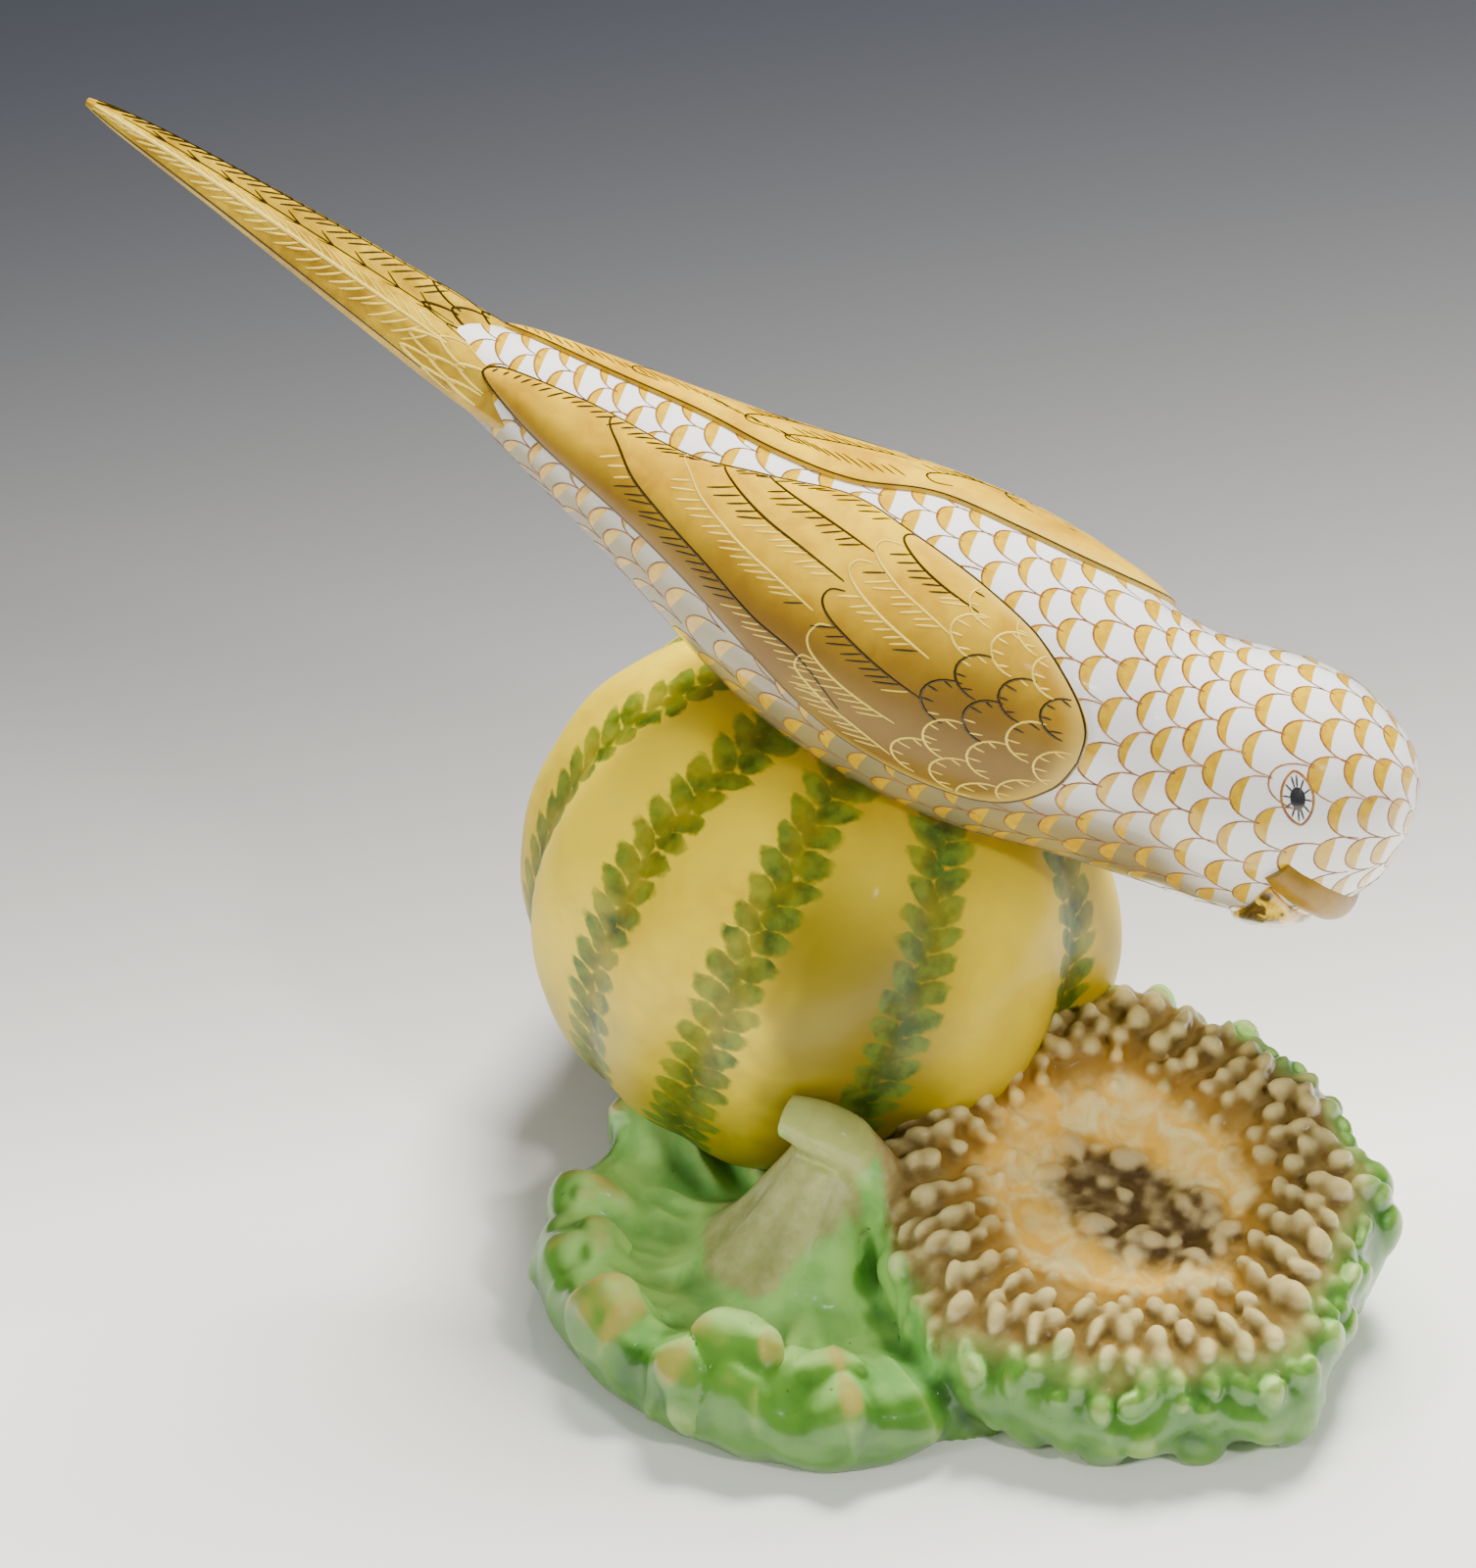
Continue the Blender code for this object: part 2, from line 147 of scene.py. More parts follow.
# The near half of the beak's outline on the head, (section, degrees), and how far it stands out.
BEAK_EDGE = [
    (13.58, 180.0),
    (13.64, 160.0),
    (13.74, 141.0),
    (14.02, 117.0),
    (14.24, 102.0),
    (14.40, 104.0),
    (14.74, 113.5),
    (14.98, 122.5),
    (15.28, 141.0),
    (15.36, 160.0),
    (15.40, 180.0),
]
# The mound's middle, its height, its depth inside the head, and how far its edge is sunk.
BEAK_MIDDLE = (14.5, 180.0)
BEAK_LIFT = 2.0
BEAK_SINK = 2.2
EDGE_SINK = 0.2
# The band over the beak: section, degrees and radius, its middle sunk by CERE_OUT.
CERE = [
    (14.30, 91.5, 2.8),
    (14.60, 97.0, 3.1),
    (15.05, 105.0, 3.4),
    (15.60, 120.0, 3.5),
    (16.05, 148.0, 3.5),
    (16.15, 180.0, 3.5),
    (16.05, 212.0, 3.5),
    (15.60, 240.0, 3.5),
    (15.05, 255.0, 3.4),
    (14.60, 263.0, 3.1),
    (14.30, 268.5, 2.8),
]
CERE_OUT = -1.6

# The gourd: middle, radii across and towards its poles, axis, then its grooves' depth and bearings.
GOURD_CENTRE = (-28.8, 37.3, 40.0)
GOURD_EQUATOR = 49.8
GOURD_POLE = 43.4
GOURD_AXIS = (0.315, 0.210, 0.926)
GOURD_GROOVE = 3.2
GOURD_GROOVES = [-85.0, -52.0, -23.0, 11.0, 56.0, 92.0, 129.0, 165.0, 202.0, 238.0]

DOWN_CENTRE = (-22.5, -19.5)
DOWN_RADIUS = 38.0
# The frilled rim's crest: angle in degrees, reach and height.
DOWN_CREST = [
    (-179.0, 34.4, 13.5),
    (-172.0, 35.0, 14.0),
    (-165.0, 31.0, 17.0),
    (-155.0, 31.5, 13.5),
    (-136.0, 31.0, 18.0),
    (-120.0, 31.0, 13.0),
    (-105.0, 31.8, 17.5),
    (-99.0, 30.5, 14.0),
    (-91.0, 28.5, 18.5),
    (-76.0, 29.5, 13.5),
    (-61.0, 31.0, 16.0),
    (-54.0, 33.0, 12.5),
    (-42.0, 36.0, 10.0),
    (-15.0, 37.0, 9.0),
    (20.0, 35.0, 11.0),
    (75.0, 34.0, 15.0),
    (112.0, 35.5, 16.0),
    (128.0, 35.0, 17.5),
    (139.0, 36.5, 19.5),
    (150.0, 35.0, 14.5),
    (160.0, 34.5, 15.0),
    (171.0, 33.5, 18.0),
]
# Its outline near the ground: angle in degrees and reach.
DOWN_GROUND = [
    (-171.0, 38.6),
    (-162.0, 37.6),
    (-136.0, 35.2),
    (-113.0, 35.0),
    (-96.0, 35.8),
    (-82.0, 38.0),
    (-64.0, 41.2),
    (-50.0, 42.5),
    (-30.0, 42.0),
    (0.0, 40.0),
    (60.0, 38.0),
    (112.0, 38.0),
    (139.0, 39.4),
    (160.0, 38.6),
]
# The hollow's floor from the middle out: share of the reach and height.
DOWN_FLOOR = [
    (0.0, 20.0),
    (0.15, 17.0),
    (0.3, 12.5),
    (0.45, 9.6),
    (0.6, 8.4),
    (0.72, 8.6),
    (0.85, 10.0),
    (1.0, 12.0),
]
STALK = [
    (-23.2, -13.4, 35.4, 3.7),
    (-18.6, -14.0, 34.6, 4.5),
    (-13.8, -14.4, 32.2, 4.7),
    (-9.8, -14.0, 27.0, 5.0),
    (-6.6, -12.4, 17.0, 6.0),
    (-4.8, -10.8, 4.0, 7.4),
]
# Curled lobes of the frilled rim: x, y, z and size.
RIM_LOBES = [
    (-51.6, 5.2, 17.6, 6.4),
    (-54.8, -14.2, 15.6, 5.4),
    (-58.4, -24.0, 10.0, 4.8),
    (-51.2, -26.6, 15.0, 6.0),
    (-44.6, -41.0, 16.0, 6.8),
    (-31.6, -51.0, 15.4, 6.8),
    (-23.2, -47.2, 17.6, 8.0),
    (-8.6, -47.0, 13.8, 7.6),
    (0.6, -48.6, 8.6, 5.4),
    (-44.4, 8.4, 15.0, 5.4),
]
# Folds that run from the stalk's foot into the hollow: bearing in degrees and length.
HOLLOW_FOLDS = [(172.0, 30.0), (205.0, 31.0), (236.0, 30.0), (268.0, 31.0), (140.0, 27.0)]
FOOT_TOP = (-15.4, -13.2, 30.0)
FOOT_BASE = (-24.0, -20.6, 4.0)
FOOT_RADII = (6.6, 18.6)

UP_CENTRE = (30.5, -6.8)
UP_RADIUS = 39.8
UP_HEIGHT = 27.0
UP_FALL = 0.225
UP_TURN = 13.0
UP_PROFILE = [
    (0.00, -5.6),
    (0.20, -5.2),
    (0.36, -4.8),
    (0.48, -3.4),
    (0.56, -0.8),
    (0.66, 0.6),
    (0.78, 1.0),
    (0.90, -0.6),
    (1.00, -6.4),
]
UP_WALL = [
    (1.00, 1.00),
    (1.03, 0.72),
    (1.01, 0.46),
    (0.95, 0.20),
    (0.88, 0.00),
]
# How far the bed of the seeds lies below the face.
SEED_BED = 2.2
# Rings of seeds: share of the radius, and how many.
SEED_RINGS = [(0.440, 17), (0.520, 22), (0.600, 27), (0.680, 31), (0.765, 35), (0.850, 38), (0.935, 41)]
# The share of seeds left out of each ring.
SEED_GAPS = (0.55, 0.25, 0.10, 0.0, 0.0, 0.0, 0.0)
# Knobs of the wall: share of the radius, drop below the rim, how many, and size.
PEBBLE_ROWS = [(0.972, 1.4, 36, 2.8), (0.975, 6.0, 24, 3.6), (0.950, 11.5, 15, 4.4)]
# The orange ring reaches farther out towards one bearing, in radians, by a share.
RING_DRIFT = 2.6
RING_REACH = 0.16
# The dark heart of the face: middle, half sizes, number of crumbs and turn.
HEART_CENTRE = (2.4, -2.2)
HEART_HALF = (17.5, 9.5)
HEART_LUMPS = 22
HEART_TURN = math.radians(-36.0)
# The radius of the ring of noise that the walls' folds are read from.
FOLD_RING = 30.0
# Cell size of the one skin over the seed heads and what joins them.
HEADS_VOXEL = 0.635
# The skin's first smoothing, then glaze in its creases: rounds, share, and how much seeds are spared.
SKIN_EASE = 0.45
CREASE_FILLS = [(14, 0.75, 0.6), (40, 0.4, 0.9)]
# Rounds of blur that the broad and the fine relief marks are measured against.
PROUD_ROUNDS = 28
FINE_ROUNDS = 8
# The web of clay at the floor: middle, half sizes and height.
SLAB_CENTRE = (2.0, -12.0)
SLAB_HALF = (30.0, 33.5)
SLAB_TOP = 8.0

# Rows and columns of each piece's grid.
BODY_GRID = (260, 220)
WING_GRID = (150, 300)
TAIL_GRID = (160, 120)
CERE_GRID = (120, 48)
BEAK_GRID = (80, 120)
GOURD_GRID = (200, 360)
CALYX_GRID = (110, 240)
FOOT_GRID = (50, 110)
LUMP_GRID = (12, 18)
SEED_HEAD_GRID = (90, 160)
WEB_GRID = (40, 80)
STALK_GRID = (60, 30)
BUTTRESS_GRID = (26, 16)
FOLD_GRID = (24, 14)
# The share of a bar's length that rounds each of its ends.
BAR_CAP = 0.08

# Camera: it looks at TARGET from AZIMUTH and ELEVATION.
TARGET = (-38.3, 19.3, 73.9)
AZIMUTH = 13.0
ELEVATION = 38.0
DISTANCE = 1100.0
LENS = 159.68

# The studio floor: half its size, then in metres where its painted fall-off of light starts and how fast.
FLOOR_HALF = 6000.0
FLOOR_NEAR = -0.010
FLOOR_FALL = 0.100
# How much brighter the painted light on the sweep is towards the right.
FLOOR_TILT = 0.20
# Lamps: name, place, aim, size, watts, and whether reflections show it.
LAMPS = [
    ("key", (20, 640, 1000), (-20, 0, 30), (420, 420), 42.0, False),
    ("fill", (-800, -800, 500), (0, 10, 60), (240, 240), 6.2, False),
    ("side", (800, -500, 900), (0, 10, 60), (150, 150), 6.6, False),
    ("spark", (800, -500, 900), (0, 10, 60), (50, 50), 0.8, True),
]
# Colour and strength of the light from all round.
SKY = (0.80, 0.84, 0.92, 1.0)
SKY_STRENGTH = 0.36

# Painting: a scale's width and row spacing, then the lines' lift and half widths.
SCALE_WIDTH = 7.4
SCALE_PITCH = 5.2
# Rows lie closer where the body's girth is below the first, down to the second as a share.
SCALE_EASE = (120.0, 0.62)
STROKE_LIFT = 0.03
TAN_HALF = 0.16
GOLD_HALF = 0.23
INK_HALF = 0.20
LINE_CROWN = 0.3
LINE_SIDES = 4
GOLD_CROWN = 0.35
# Plain glazes: noise, the step on it, two tones and roughness.
LINE_GLAZES = {
    "tan_line": ((2.0, 2.0), (0.35, 0.7), (140, 80, 26), (184, 126, 56), 0.35),
    "amber_dab": ((1.6, 3.0, 0.6), (0.3, 0.7), (226, 182, 18), (206, 156, 6), 0.3),
    # The next two are one gold in a lit and a shaded copy: painted reflections of the studio's light and
    # dark.
    "gold_painted_lit": ((5.0, 2.0), None, (250, 222, 96), (240, 200, 70), 0.3),
    "gold_painted_shade": ((5.0, 2.0), None, (34, 24, 2), (66, 48, 6), 0.3),
    "ink": ((1.0, 2.0), None, (34, 34, 36), (62, 62, 64), 0.3),
}
# Gold lines that face up more than DARK_FROM, or within DARK_BAND, are painted dark as a painted reflection
# of the studio's dark; the rest take the painted bright reflection.
DARK_FROM = 0.80
DARK_BAND = (0.34, 0.56)
# Amber crescents: grid, reach to either side, inset from the tip's line, and depth as a share.
DAB_ROWS = 5
DAB_COLUMNS = 9
DAB_REACH = 0.62
DAB_INSET = 0.08
DAB_DEPTH = 0.40
# Spacing and length of a feather's barbs.
BARB_STEP = 1.75
BARB_LENGTH = 4.0

# Leaves of the garlands: spacing, reach from the vine, half sizes and lean.
LEAF_PITCH = 4.9
LEAF_OUT = 3.0
LEAF_HALF = (4.3, 2.1)
LEAF_COS = math.cos(math.radians(40.0))
LEAF_SIN = math.sin(math.radians(40.0))

# The near eye's place on the head, its half sizes and the turn of its long axis in degrees.
EYE = (14.25, 55.5)
EYE_HALF = (4.2, 2.4)
EYE_TURN = 66.0
PUPIL_HALF = (1.75, 1.15)
PUPIL_SIDES = 24
EYE_RAYS = 12
# Scales stop at the first share of the eye's outline, and their amber at the second.
EYE_CLEAR = (0.9, 1.45)

# Lower edges of the long feathers, each looped round its tip from the edge above: (section, degrees).
FEATHERS = [
    [
        (3.89, 24.5), (3.62, 25.5), (3.60, 33.5), (3.79, 43.5), (4.11, 56.5), (4.58, 64.5),
        (5.05, 69.5), (5.79, 76.0), (6.48, 78.5), (7.2, 88.0),
    ],
    [
        (4.63, 23.0), (4.46, 23.5), (4.41, 28.5), (4.51, 34.8), (4.73, 44.2), (5.12, 51.0),
        (5.42, 54.2), (5.86, 57.0), (6.35, 60.0),
    ],
    [
        (5.05, 17.0), (4.83, 17.0), (4.78, 21.5), (4.88, 27.0), (5.12, 33.2), (5.44, 37.8),
        (5.89, 41.0), (6.50, 45.0),
    ],
    [
        (5.42, 12.5), (5.26, 12.5), (5.21, 15.0), (5.34, 18.5), (5.66, 22.5), (6.21, 26.8),
        (6.65, 30.0),
    ],
    [
        (7.30, 17.5), (7.04, 16.0), (6.92, 18.5), (6.99, 22.5), (7.30, 28.0), (7.70, 32.0),
        (8.17, 34.8),
    ],
    [
        (6.97, 22.8), (6.72, 23.8), (6.65, 28.5), (6.80, 33.2), (7.14, 38.5), (7.55, 42.2),
        (7.95, 45.8),
    ],
    [
        (6.72, 34.2), (6.53, 35.5), (6.48, 40.2), (6.67, 45.2), (7.04, 49.8), (7.46, 53.2),
        (7.85, 56.0),
    ],
    [
        (6.57, 48.0), (6.40, 49.8), (6.38, 54.8), (6.57, 59.5), (7.02, 63.8), (7.51, 67.2),
        (7.98, 69.5),
    ],
    [
        (6.62, 61.5), (6.48, 63.5), (6.45, 69.5), (6.60, 74.2), (6.97, 78.0), (7.46, 80.5),
        (7.85, 81.8),
    ],
    [
        (6.65, 75.8), (6.50, 77.0), (6.50, 82.0), (6.65, 84.8), (7.04, 88.5), (7.49, 91.2),
        (8.00, 95.0),
    ],
]
# The wing's upper edge, where the outer barbs start.
WING_BROW = [
    (1.75, 40.0), (2.19, 31.5), (3.20, 25.5), (3.97, 25.8), (4.38, 26.0), (4.75, 20.5),
    (5.40, 12.5), (6.08, 8.2), (6.82, 14.0),
]
# Tips of the small rounded feathers on the shoulder.
COVERTS = [
    (7.98, 30.5), (7.92, 42.5), (8.50, 42.3), (8.20, 54.3), (7.95, 66.5), (8.86, 55.5),
    (8.56, 67.0), (8.20, 78.5), (9.15, 43.5), (9.48, 56.0), (9.20, 67.8), (7.95, 90.0),
    (8.50, 91.0), (8.84, 79.5), (9.40, 90.0), (9.68, 74.5), (8.96, 97.0), (8.72, 32.0),
]


def spline(rows, at):
    """Catmull-Rom values of a table of rows at each position, counted in rows."""
    rows = np.asarray(rows, float)
    last = len(rows) - 1
    at = np.clip(np.asarray(at, float), 0.0, last)
    low = np.minimum(np.floor(at).astype(int), last - 1)
    part = (at - low)[..., None]
    p0 = rows[np.maximum(low - 1, 0)]
    p1 = rows[low]
    p2 = rows[low + 1]
    p3 = rows[np.minimum(low + 2, last)]
    bend = (p2 - p0) * part
    bend += (2 * p0 - 5 * p1 + 4 * p2 - p3) * part**2
    bend += (3 * p1 - p0 - 3 * p2 + p3) * part**3
    return p1 + 0.5 * bend


def loft(rows, at, angle, ridge=0.0):
    """Points of a loft whose sections stand square to its centre line, angle 0 at the back's middle."""
    row = spline(rows, at)
    ahead = spline(rows, np.asarray(at) + 0.02) - spline(rows, np.asarray(at) - 0.02)
    length = np.hypot(ahead[..., 0], ahead[..., 1])
    up_x = -ahead[..., 1] / length
    up_z = ahead[..., 0] / length
    high = np.cos(angle) * np.maximum(row[..., 2], 0.05)
    high = high * (1 - ridge * (1 - np.abs(np.cos(angle))) * (np.cos(angle) > 0))
    wide = np.sin(angle) * np.maximum(row[..., 3], 0.05)
    points = np.stack([row[..., 0] + up_x * high, -wide, row[..., 1] + up_z * high], -1)
    return points + np.array([0.0, BIRD_Y, 0.0])


def surface(place, at, angle, lift=0.0):
    """Point and outward normal of place(at, angle), moved out by lift."""
    step_at = 0.01
    step_angle = 0.004
    point = place(at, angle)
    along = place(at + step_at, angle) - place(at - step_at, angle)
    across = place(at, angle + step_angle) - place(at, angle - step_angle)
    normal = np.cross(across, along)
    normal /= np.linalg.norm(normal, axis=-1)[..., None] + 1e-12
    return point + normal * np.asarray(lift)[..., None], normal


def outward(rows, at, point, normal):
    """The normals, turned away from the loft's centre line."""
    centre = spline(rows, at)
    middle = np.stack([centre[..., 0], np.full(at.shape, BIRD_Y), centre[..., 1]], -1)
    return normal * np.sign(np.sum(normal * (point - middle), -1))[..., None]


def summed(steps):
    """How far along a line each of its points lies, from the steps between them."""
    return np.concatenate([[0.0], np.cumsum(steps)])


def on_body(at, angle, lift=0.0):
    """Point and outward normal on the bird's body, moved out by lift."""
    at, angle = np.broadcast_arrays(np.asarray(at, float), np.asarray(angle, float))
    point, normal = surface(lambda s, a: loft(BODY, s, a), at, angle)
    normal = outward(BODY, at, point, normal)
    return point + normal * np.broadcast_to(lift, at.shape)[..., None], normal


class Wing:
    """A folded wing laid on the body: its outline, its surface, and strokes across it."""

    def __init__(self, rows, side):
        self.side = side
        self.rows = np.array(rows + rows[:1])
        turn = np.linspace(0.0, 2 * math.pi, 721)
        edge = self.edge(turn)
        bearing = np.unwrap(self.bearing(edge[:, 0], edge[:, 1]))
        order = np.argsort(bearing)
        self.bearings = bearing[order]
        self.turns = turn[order]

    def edge(self, turn):
        """The outline's (section, degrees) at a turn."""
        share = np.mod(np.asarray(turn) / (2 * math.pi), 1.0)
        return spline(self.rows, share * (len(self.rows) - 1))

    @staticmethod
    def bearing(at, degrees):
        """The direction of a place from the hub."""
        return np.arctan2((degrees - WING_HUB[1]) / WING_WEIGHT, at - WING_HUB[0])

    def reach(self, at, degrees):
        """Share of the way from the hub to the outline."""
        at = np.asarray(at, float)
        degrees = np.asarray(degrees, float)
        bearing = self.bearing(at, degrees)
        low = self.bearings[0]
        bearing = low + np.mod(bearing - low, 2 * math.pi)
        edge = self.edge(np.interp(bearing, self.bearings, self.turns))
        whole = np.hypot(edge[..., 0] - WING_HUB[0], (edge[..., 1] - WING_HUB[1]) / WING_WEIGHT)
        part = np.hypot(at - WING_HUB[0], (degrees - WING_HUB[1]) / WING_WEIGHT)
        return part / np.maximum(whole, 1e-6)

    def lift(self, out):
        """Height over the body at a share of the way out."""
        return WING_LIFT * np.clip(1 - out**2, 0, 1) ** 0.25 - WING_SINK

    def skin(self, at, degrees, lift=0.0):
        """Point and normal on the wing's painted face."""
        out = np.clip(self.reach(at, degrees), 0.0, 1.0)
        rise = self.lift(out)
        point, normal = on_body(at, np.radians(degrees), rise + lift)
        return self.turned(point), self.turned(normal, False)

    def turned(self, vectors, place=True):
        """The far wing's mirror image of places or directions."""
        if self.side > 0:
            return vectors
        vectors = vectors.copy()
        vectors[..., 1] = (2 * BIRD_Y if place else 0.0) - vectors[..., 1]
        return vectors


def lattice_noise(points, size, seed=0):
    """Smooth value noise from -1 to 1 at each point."""
    p = np.asarray(points, float) / size + seed * 17.3
    base = np.floor(p).astype(np.int64)
    f = p - base
    f = f * f * (3 - 2 * f)
    total = np.zeros(p.shape[:-1])
    for corner in range(8):
        offset = np.array([corner & 1, corner >> 1 & 1, corner >> 2 & 1])
        cell = base + offset
        mixed = cell[..., 0] * 374761393 + cell[..., 1] * 668265263 + cell[..., 2] * 1274126177
        mixed = (mixed ^ (mixed >> 13)) * 1103515245 & 0x7FFFFFFF
        value = (mixed ^ (mixed >> 16)) % 10007 / 5003.0 - 1.0
        weight = np.prod(np.where(offset, f, 1 - f), axis=-1)
        total += value * weight
    return total


def add_object(name, data):
    """A new object of the data, linked into the scene."""
    thing = bpy.data.objects.new(name, data)
    bpy.context.scene.collection.objects.link(thing)
    return thing


def write_mesh(name, points, faces, material=None, smooth=True, marks=None):
    """An object from points in millimetres, with its point attributes."""
    mesh = bpy.data.meshes.new(name)
    mesh.from_pydata((np.asarray(points) * MM).tolist(), [], faces)
    for label, values in (marks or {}).items():
        attribute = mesh.attributes.new(label, "FLOAT", "POINT")
        attribute.data.foreach_set("value", np.asarray(values, np.float32).ravel())
    if material:
        mesh.materials.append(material)
    mesh.polygons.foreach_set("use_smooth", [smooth] * len(mesh.polygons))
    mesh.validate()
    mesh.update()
    return add_object(name, mesh)


def keep_out(piece):
    """Turns a closed piece's faces outwards."""
    work = bmesh.new()
    work.from_mesh(piece.data)
    if work.calc_volume(signed=True) < 0:
        bmesh.ops.reverse_faces(work, faces=work.faces)
        work.to_mesh(piece.data)
    work.free()
    return piece


def grid_faces(rows, columns, poles=False):
    """Quads of a grid that closes round its columns; with poles, fans close its first and last row."""
    faces = []
    for row in range(rows - 1):
        for column in range(columns):
            beside = (column + 1) % columns
            low = row * columns
            high = low + columns
            faces.append((low + column, low + beside, high + beside, high + column))
    if poles:
        first = rows * columns
        last = first + 1
        end = (rows - 1) * columns
        for column in range(columns):
            beside = (column + 1) % columns
            faces.append((first, beside, column))
            faces.append((last, end + column, end + beside))
    return faces


def closed_grid(name, place, rows, columns, material=None, marks=None):
    """A closed piece from place(share, turn), its first and last rows drawn to one point."""
    share = np.linspace(0.0, 1.0, rows + 2)
    turn = np.arange(columns) * 2 * math.pi / columns
    shares, turns = np.meshgrid(share[1:-1], turn, indexing="ij")
    points = place(shares, turns)
    ends = place(np.array([share[0], share[-1]]), np.zeros(2))
    data = {}
    for label, values in (marks(shares, turns, points) if marks else {}).items():
        data[label] = np.concatenate([values.ravel(), [values[0].mean(), values[-1].mean()]])
    flat = np.concatenate([points.reshape(-1, 3), ends])
    piece = write_mesh(name, flat, grid_faces(rows, columns, True), material, marks=data)
    return keep_out(piece)


# Materials


class Signal:
    """A shader socket that takes part in arithmetic."""

    def __init__(self, paint, socket):
        self.paint = paint
        self.socket = socket

    def _with(self, operation, first, second=None):
        return self.paint.math(operation, first, second)

    def __add__(self, other):
        return self._with("ADD", self, other)

    __radd__ = __add__

    def __sub__(self, other):
        return self._with("SUBTRACT", self, other)

    def __rsub__(self, other):
        return self._with("SUBTRACT", other, self)

    def __mul__(self, other):
        return self._with("MULTIPLY", self, other)

    __rmul__ = __mul__

    def __truediv__(self, other):
        return self._with("DIVIDE", self, other)

    def __pow__(self, other):
        return self._with("POWER", self, other)

    def __abs__(self):
        return self._with("ABSOLUTE", self)

    def clip(self):
        return self._with("MINIMUM", self._with("MAXIMUM", self, 0.0), 1.0)

    def least(self, other):
        return self._with("MINIMUM", self, other)

    def floor(self):
        return self._with("FLOOR", self)

    def step(self, low, high):
        """A soft step from 0 at low to 1 at high."""
        node = self.paint.node(
            "ShaderNodeMapRange",
            {"interpolation_type": "SMOOTHSTEP"},
            {"Value": self, "From Min": low, "From Max": high},
        )
        return Signal(self.paint, node.outputs["Result"])


class Paint:
    """A material being mixed."""

    def __init__(self, name):
        self.material = bpy.data.materials.new(name)
        self.material.use_nodes = True
        self.tree = self.material.node_tree
        self.shader = self.tree.nodes["Principled BSDF"]
        self.place = self.tree.nodes.new("ShaderNodeTexCoord").outputs["Object"]

    def node(self, kind, settings=None, sockets=None):
        """A new shader node with its settings and inputs."""
        node = self.tree.nodes.new(kind)
        for label, value in (settings or {}).items():
            setattr(node, label, value)
        for label, value in (sockets or {}).items():
            self.set(node.inputs[label], value)
        return node

    def set(self, socket, value):
        """Gives an input a value, a colour or a link."""
        if value is None:
            return
        if isinstance(value, Signal):
            value = value.socket
        if isinstance(value, bpy.types.NodeSocket):
            self.tree.links.new(value, socket)
        elif isinstance(value, (tuple, list)) and len(value) == 3 and socket.type == "RGBA":
            socket.default_value = (*value, 1.0)
        else:
            socket.default_value = value

    def mark(self, label):
        """A value that the mesh carries at its points."""
        node = self.node("ShaderNodeAttribute", {"attribute_name": label})
        return Signal(self, node.outputs["Fac"])

    def math(self, operation, first, second):
        """One step of arithmetic."""
        node = self.node("ShaderNodeMath", {"operation": operation}, {0: first, 1: second})
        return Signal(self, node.outputs[0])

    def noise(self, size_mm, detail=3.0, rough=0.5, warp=0.0):
        """Noise with spots of about this size."""
        values = {
            "Vector": self.place,
            "Scale": 1000.0 / size_mm,
            "Detail": detail,
            "Roughness": rough,
            "Distortion": warp,
        }
        node = self.node("ShaderNodeTexNoise", None, values)
        return Signal(self, node.outputs["Fac"])

    def mix(self, factor, first, second):
        """A colour between two colours."""
        node = self.node("ShaderNodeMix", {"data_type": "RGBA"}, {0: factor, 6: first, 7: second})
        return node.outputs[2]

    def bump(self, height, strength, depth_mm):
        """Normals roughened by a height."""
        node = self.node(
            "ShaderNodeBump", None, {"Strength": strength, "Distance": depth_mm * MM, "Height": height}
        )
        return node.outputs["Normal"]

    def glaze(self, colour, rough=0.25, normal=None, coat=1.0, coat_rough=0.04):
        """Sets the shader: paint under a clear glaze."""
        values = {
            "Base Color": colour,
            "Roughness": rough,
            "Coat Weight": coat,
            "Coat Roughness": coat_rough,
            "Coat IOR": 1.5,
            "Normal": normal,
        }
        for label, value in values.items():
            self.set(self.shader.inputs[label], value)
        return self.material


def linear(value):
    """A display value from 0 to 255 as light from 0 to 1."""
    if value > 10:
        return ((value / 255 + 0.055) / 1.055) ** 2.4
    return value / 255 / 12.92


def rgb(red, green, blue):
    """A colour given in display values, as the shader's linear values."""
    return tuple(linear(value) for value in (red, green, blue))


def porcelain_white():
    """White porcelain, with painted olive shade and painted reflection under the bird."""
    paint = Paint("porcelain_white")
    cloud = paint.noise(14.0, 2.0)
    colour = paint.mix(cloud, rgb(240, 237, 228), rgb(251, 248, 240))
    # Painted shade and painted reflection of the gourd: olive on the underside.
    colour = paint.mix(paint.mark("under") * 0.9, colour, rgb(128, 110, 48))
    normal = paint.bump(paint.noise(9.0, 2.0), 0.25, 0.12)
    return paint.glaze(colour, 0.3, normal, coat_rough=0.03)


def amber_wash(name, light, dark, streak=3.5):
    """Brushed amber, with painted shade low down and at the shoulder and a painted highlight along the rim.
    """
    paint = Paint(name)
    cloud = paint.noise(13.0, 3.0, 0.55)
    fine = paint.noise(streak, 4.0, 0.6, 0.6)
    mask = (cloud * 0.75 + fine * 0.35).step(0.35, 0.75)
    colour = paint.mix(mask, light, dark)
    # Painted shade low down and at the shoulder, and a painted highlight along the rim towards the shoulder.
    colour = paint.mix(paint.mark("low") * 0.85, colour, rgb(104, 72, 0))
    colour = paint.mix(paint.mark("shoulder") * 0.75, colour, rgb(112, 80, 10))
    colour = paint.mix(paint.mark("rim") * 0.7, colour, rgb(226, 190, 84))
    normal = paint.bump(fine, 0.12, 0.05)
    return paint.glaze(colour, 0.46, normal, coat=0.16, coat_rough=0.12)


def line_glaze(name):
    """A plain glaze that drifts between two tones."""
    noise, step, one, two, rough = LINE_GLAZES[name]
    paint = Paint(name)
    blend = paint.noise(*noise)
    if step:
        blend = blend.step(*step)
    return paint.glaze(paint.mix(blend, rgb(*one), rgb(*two)), rough)


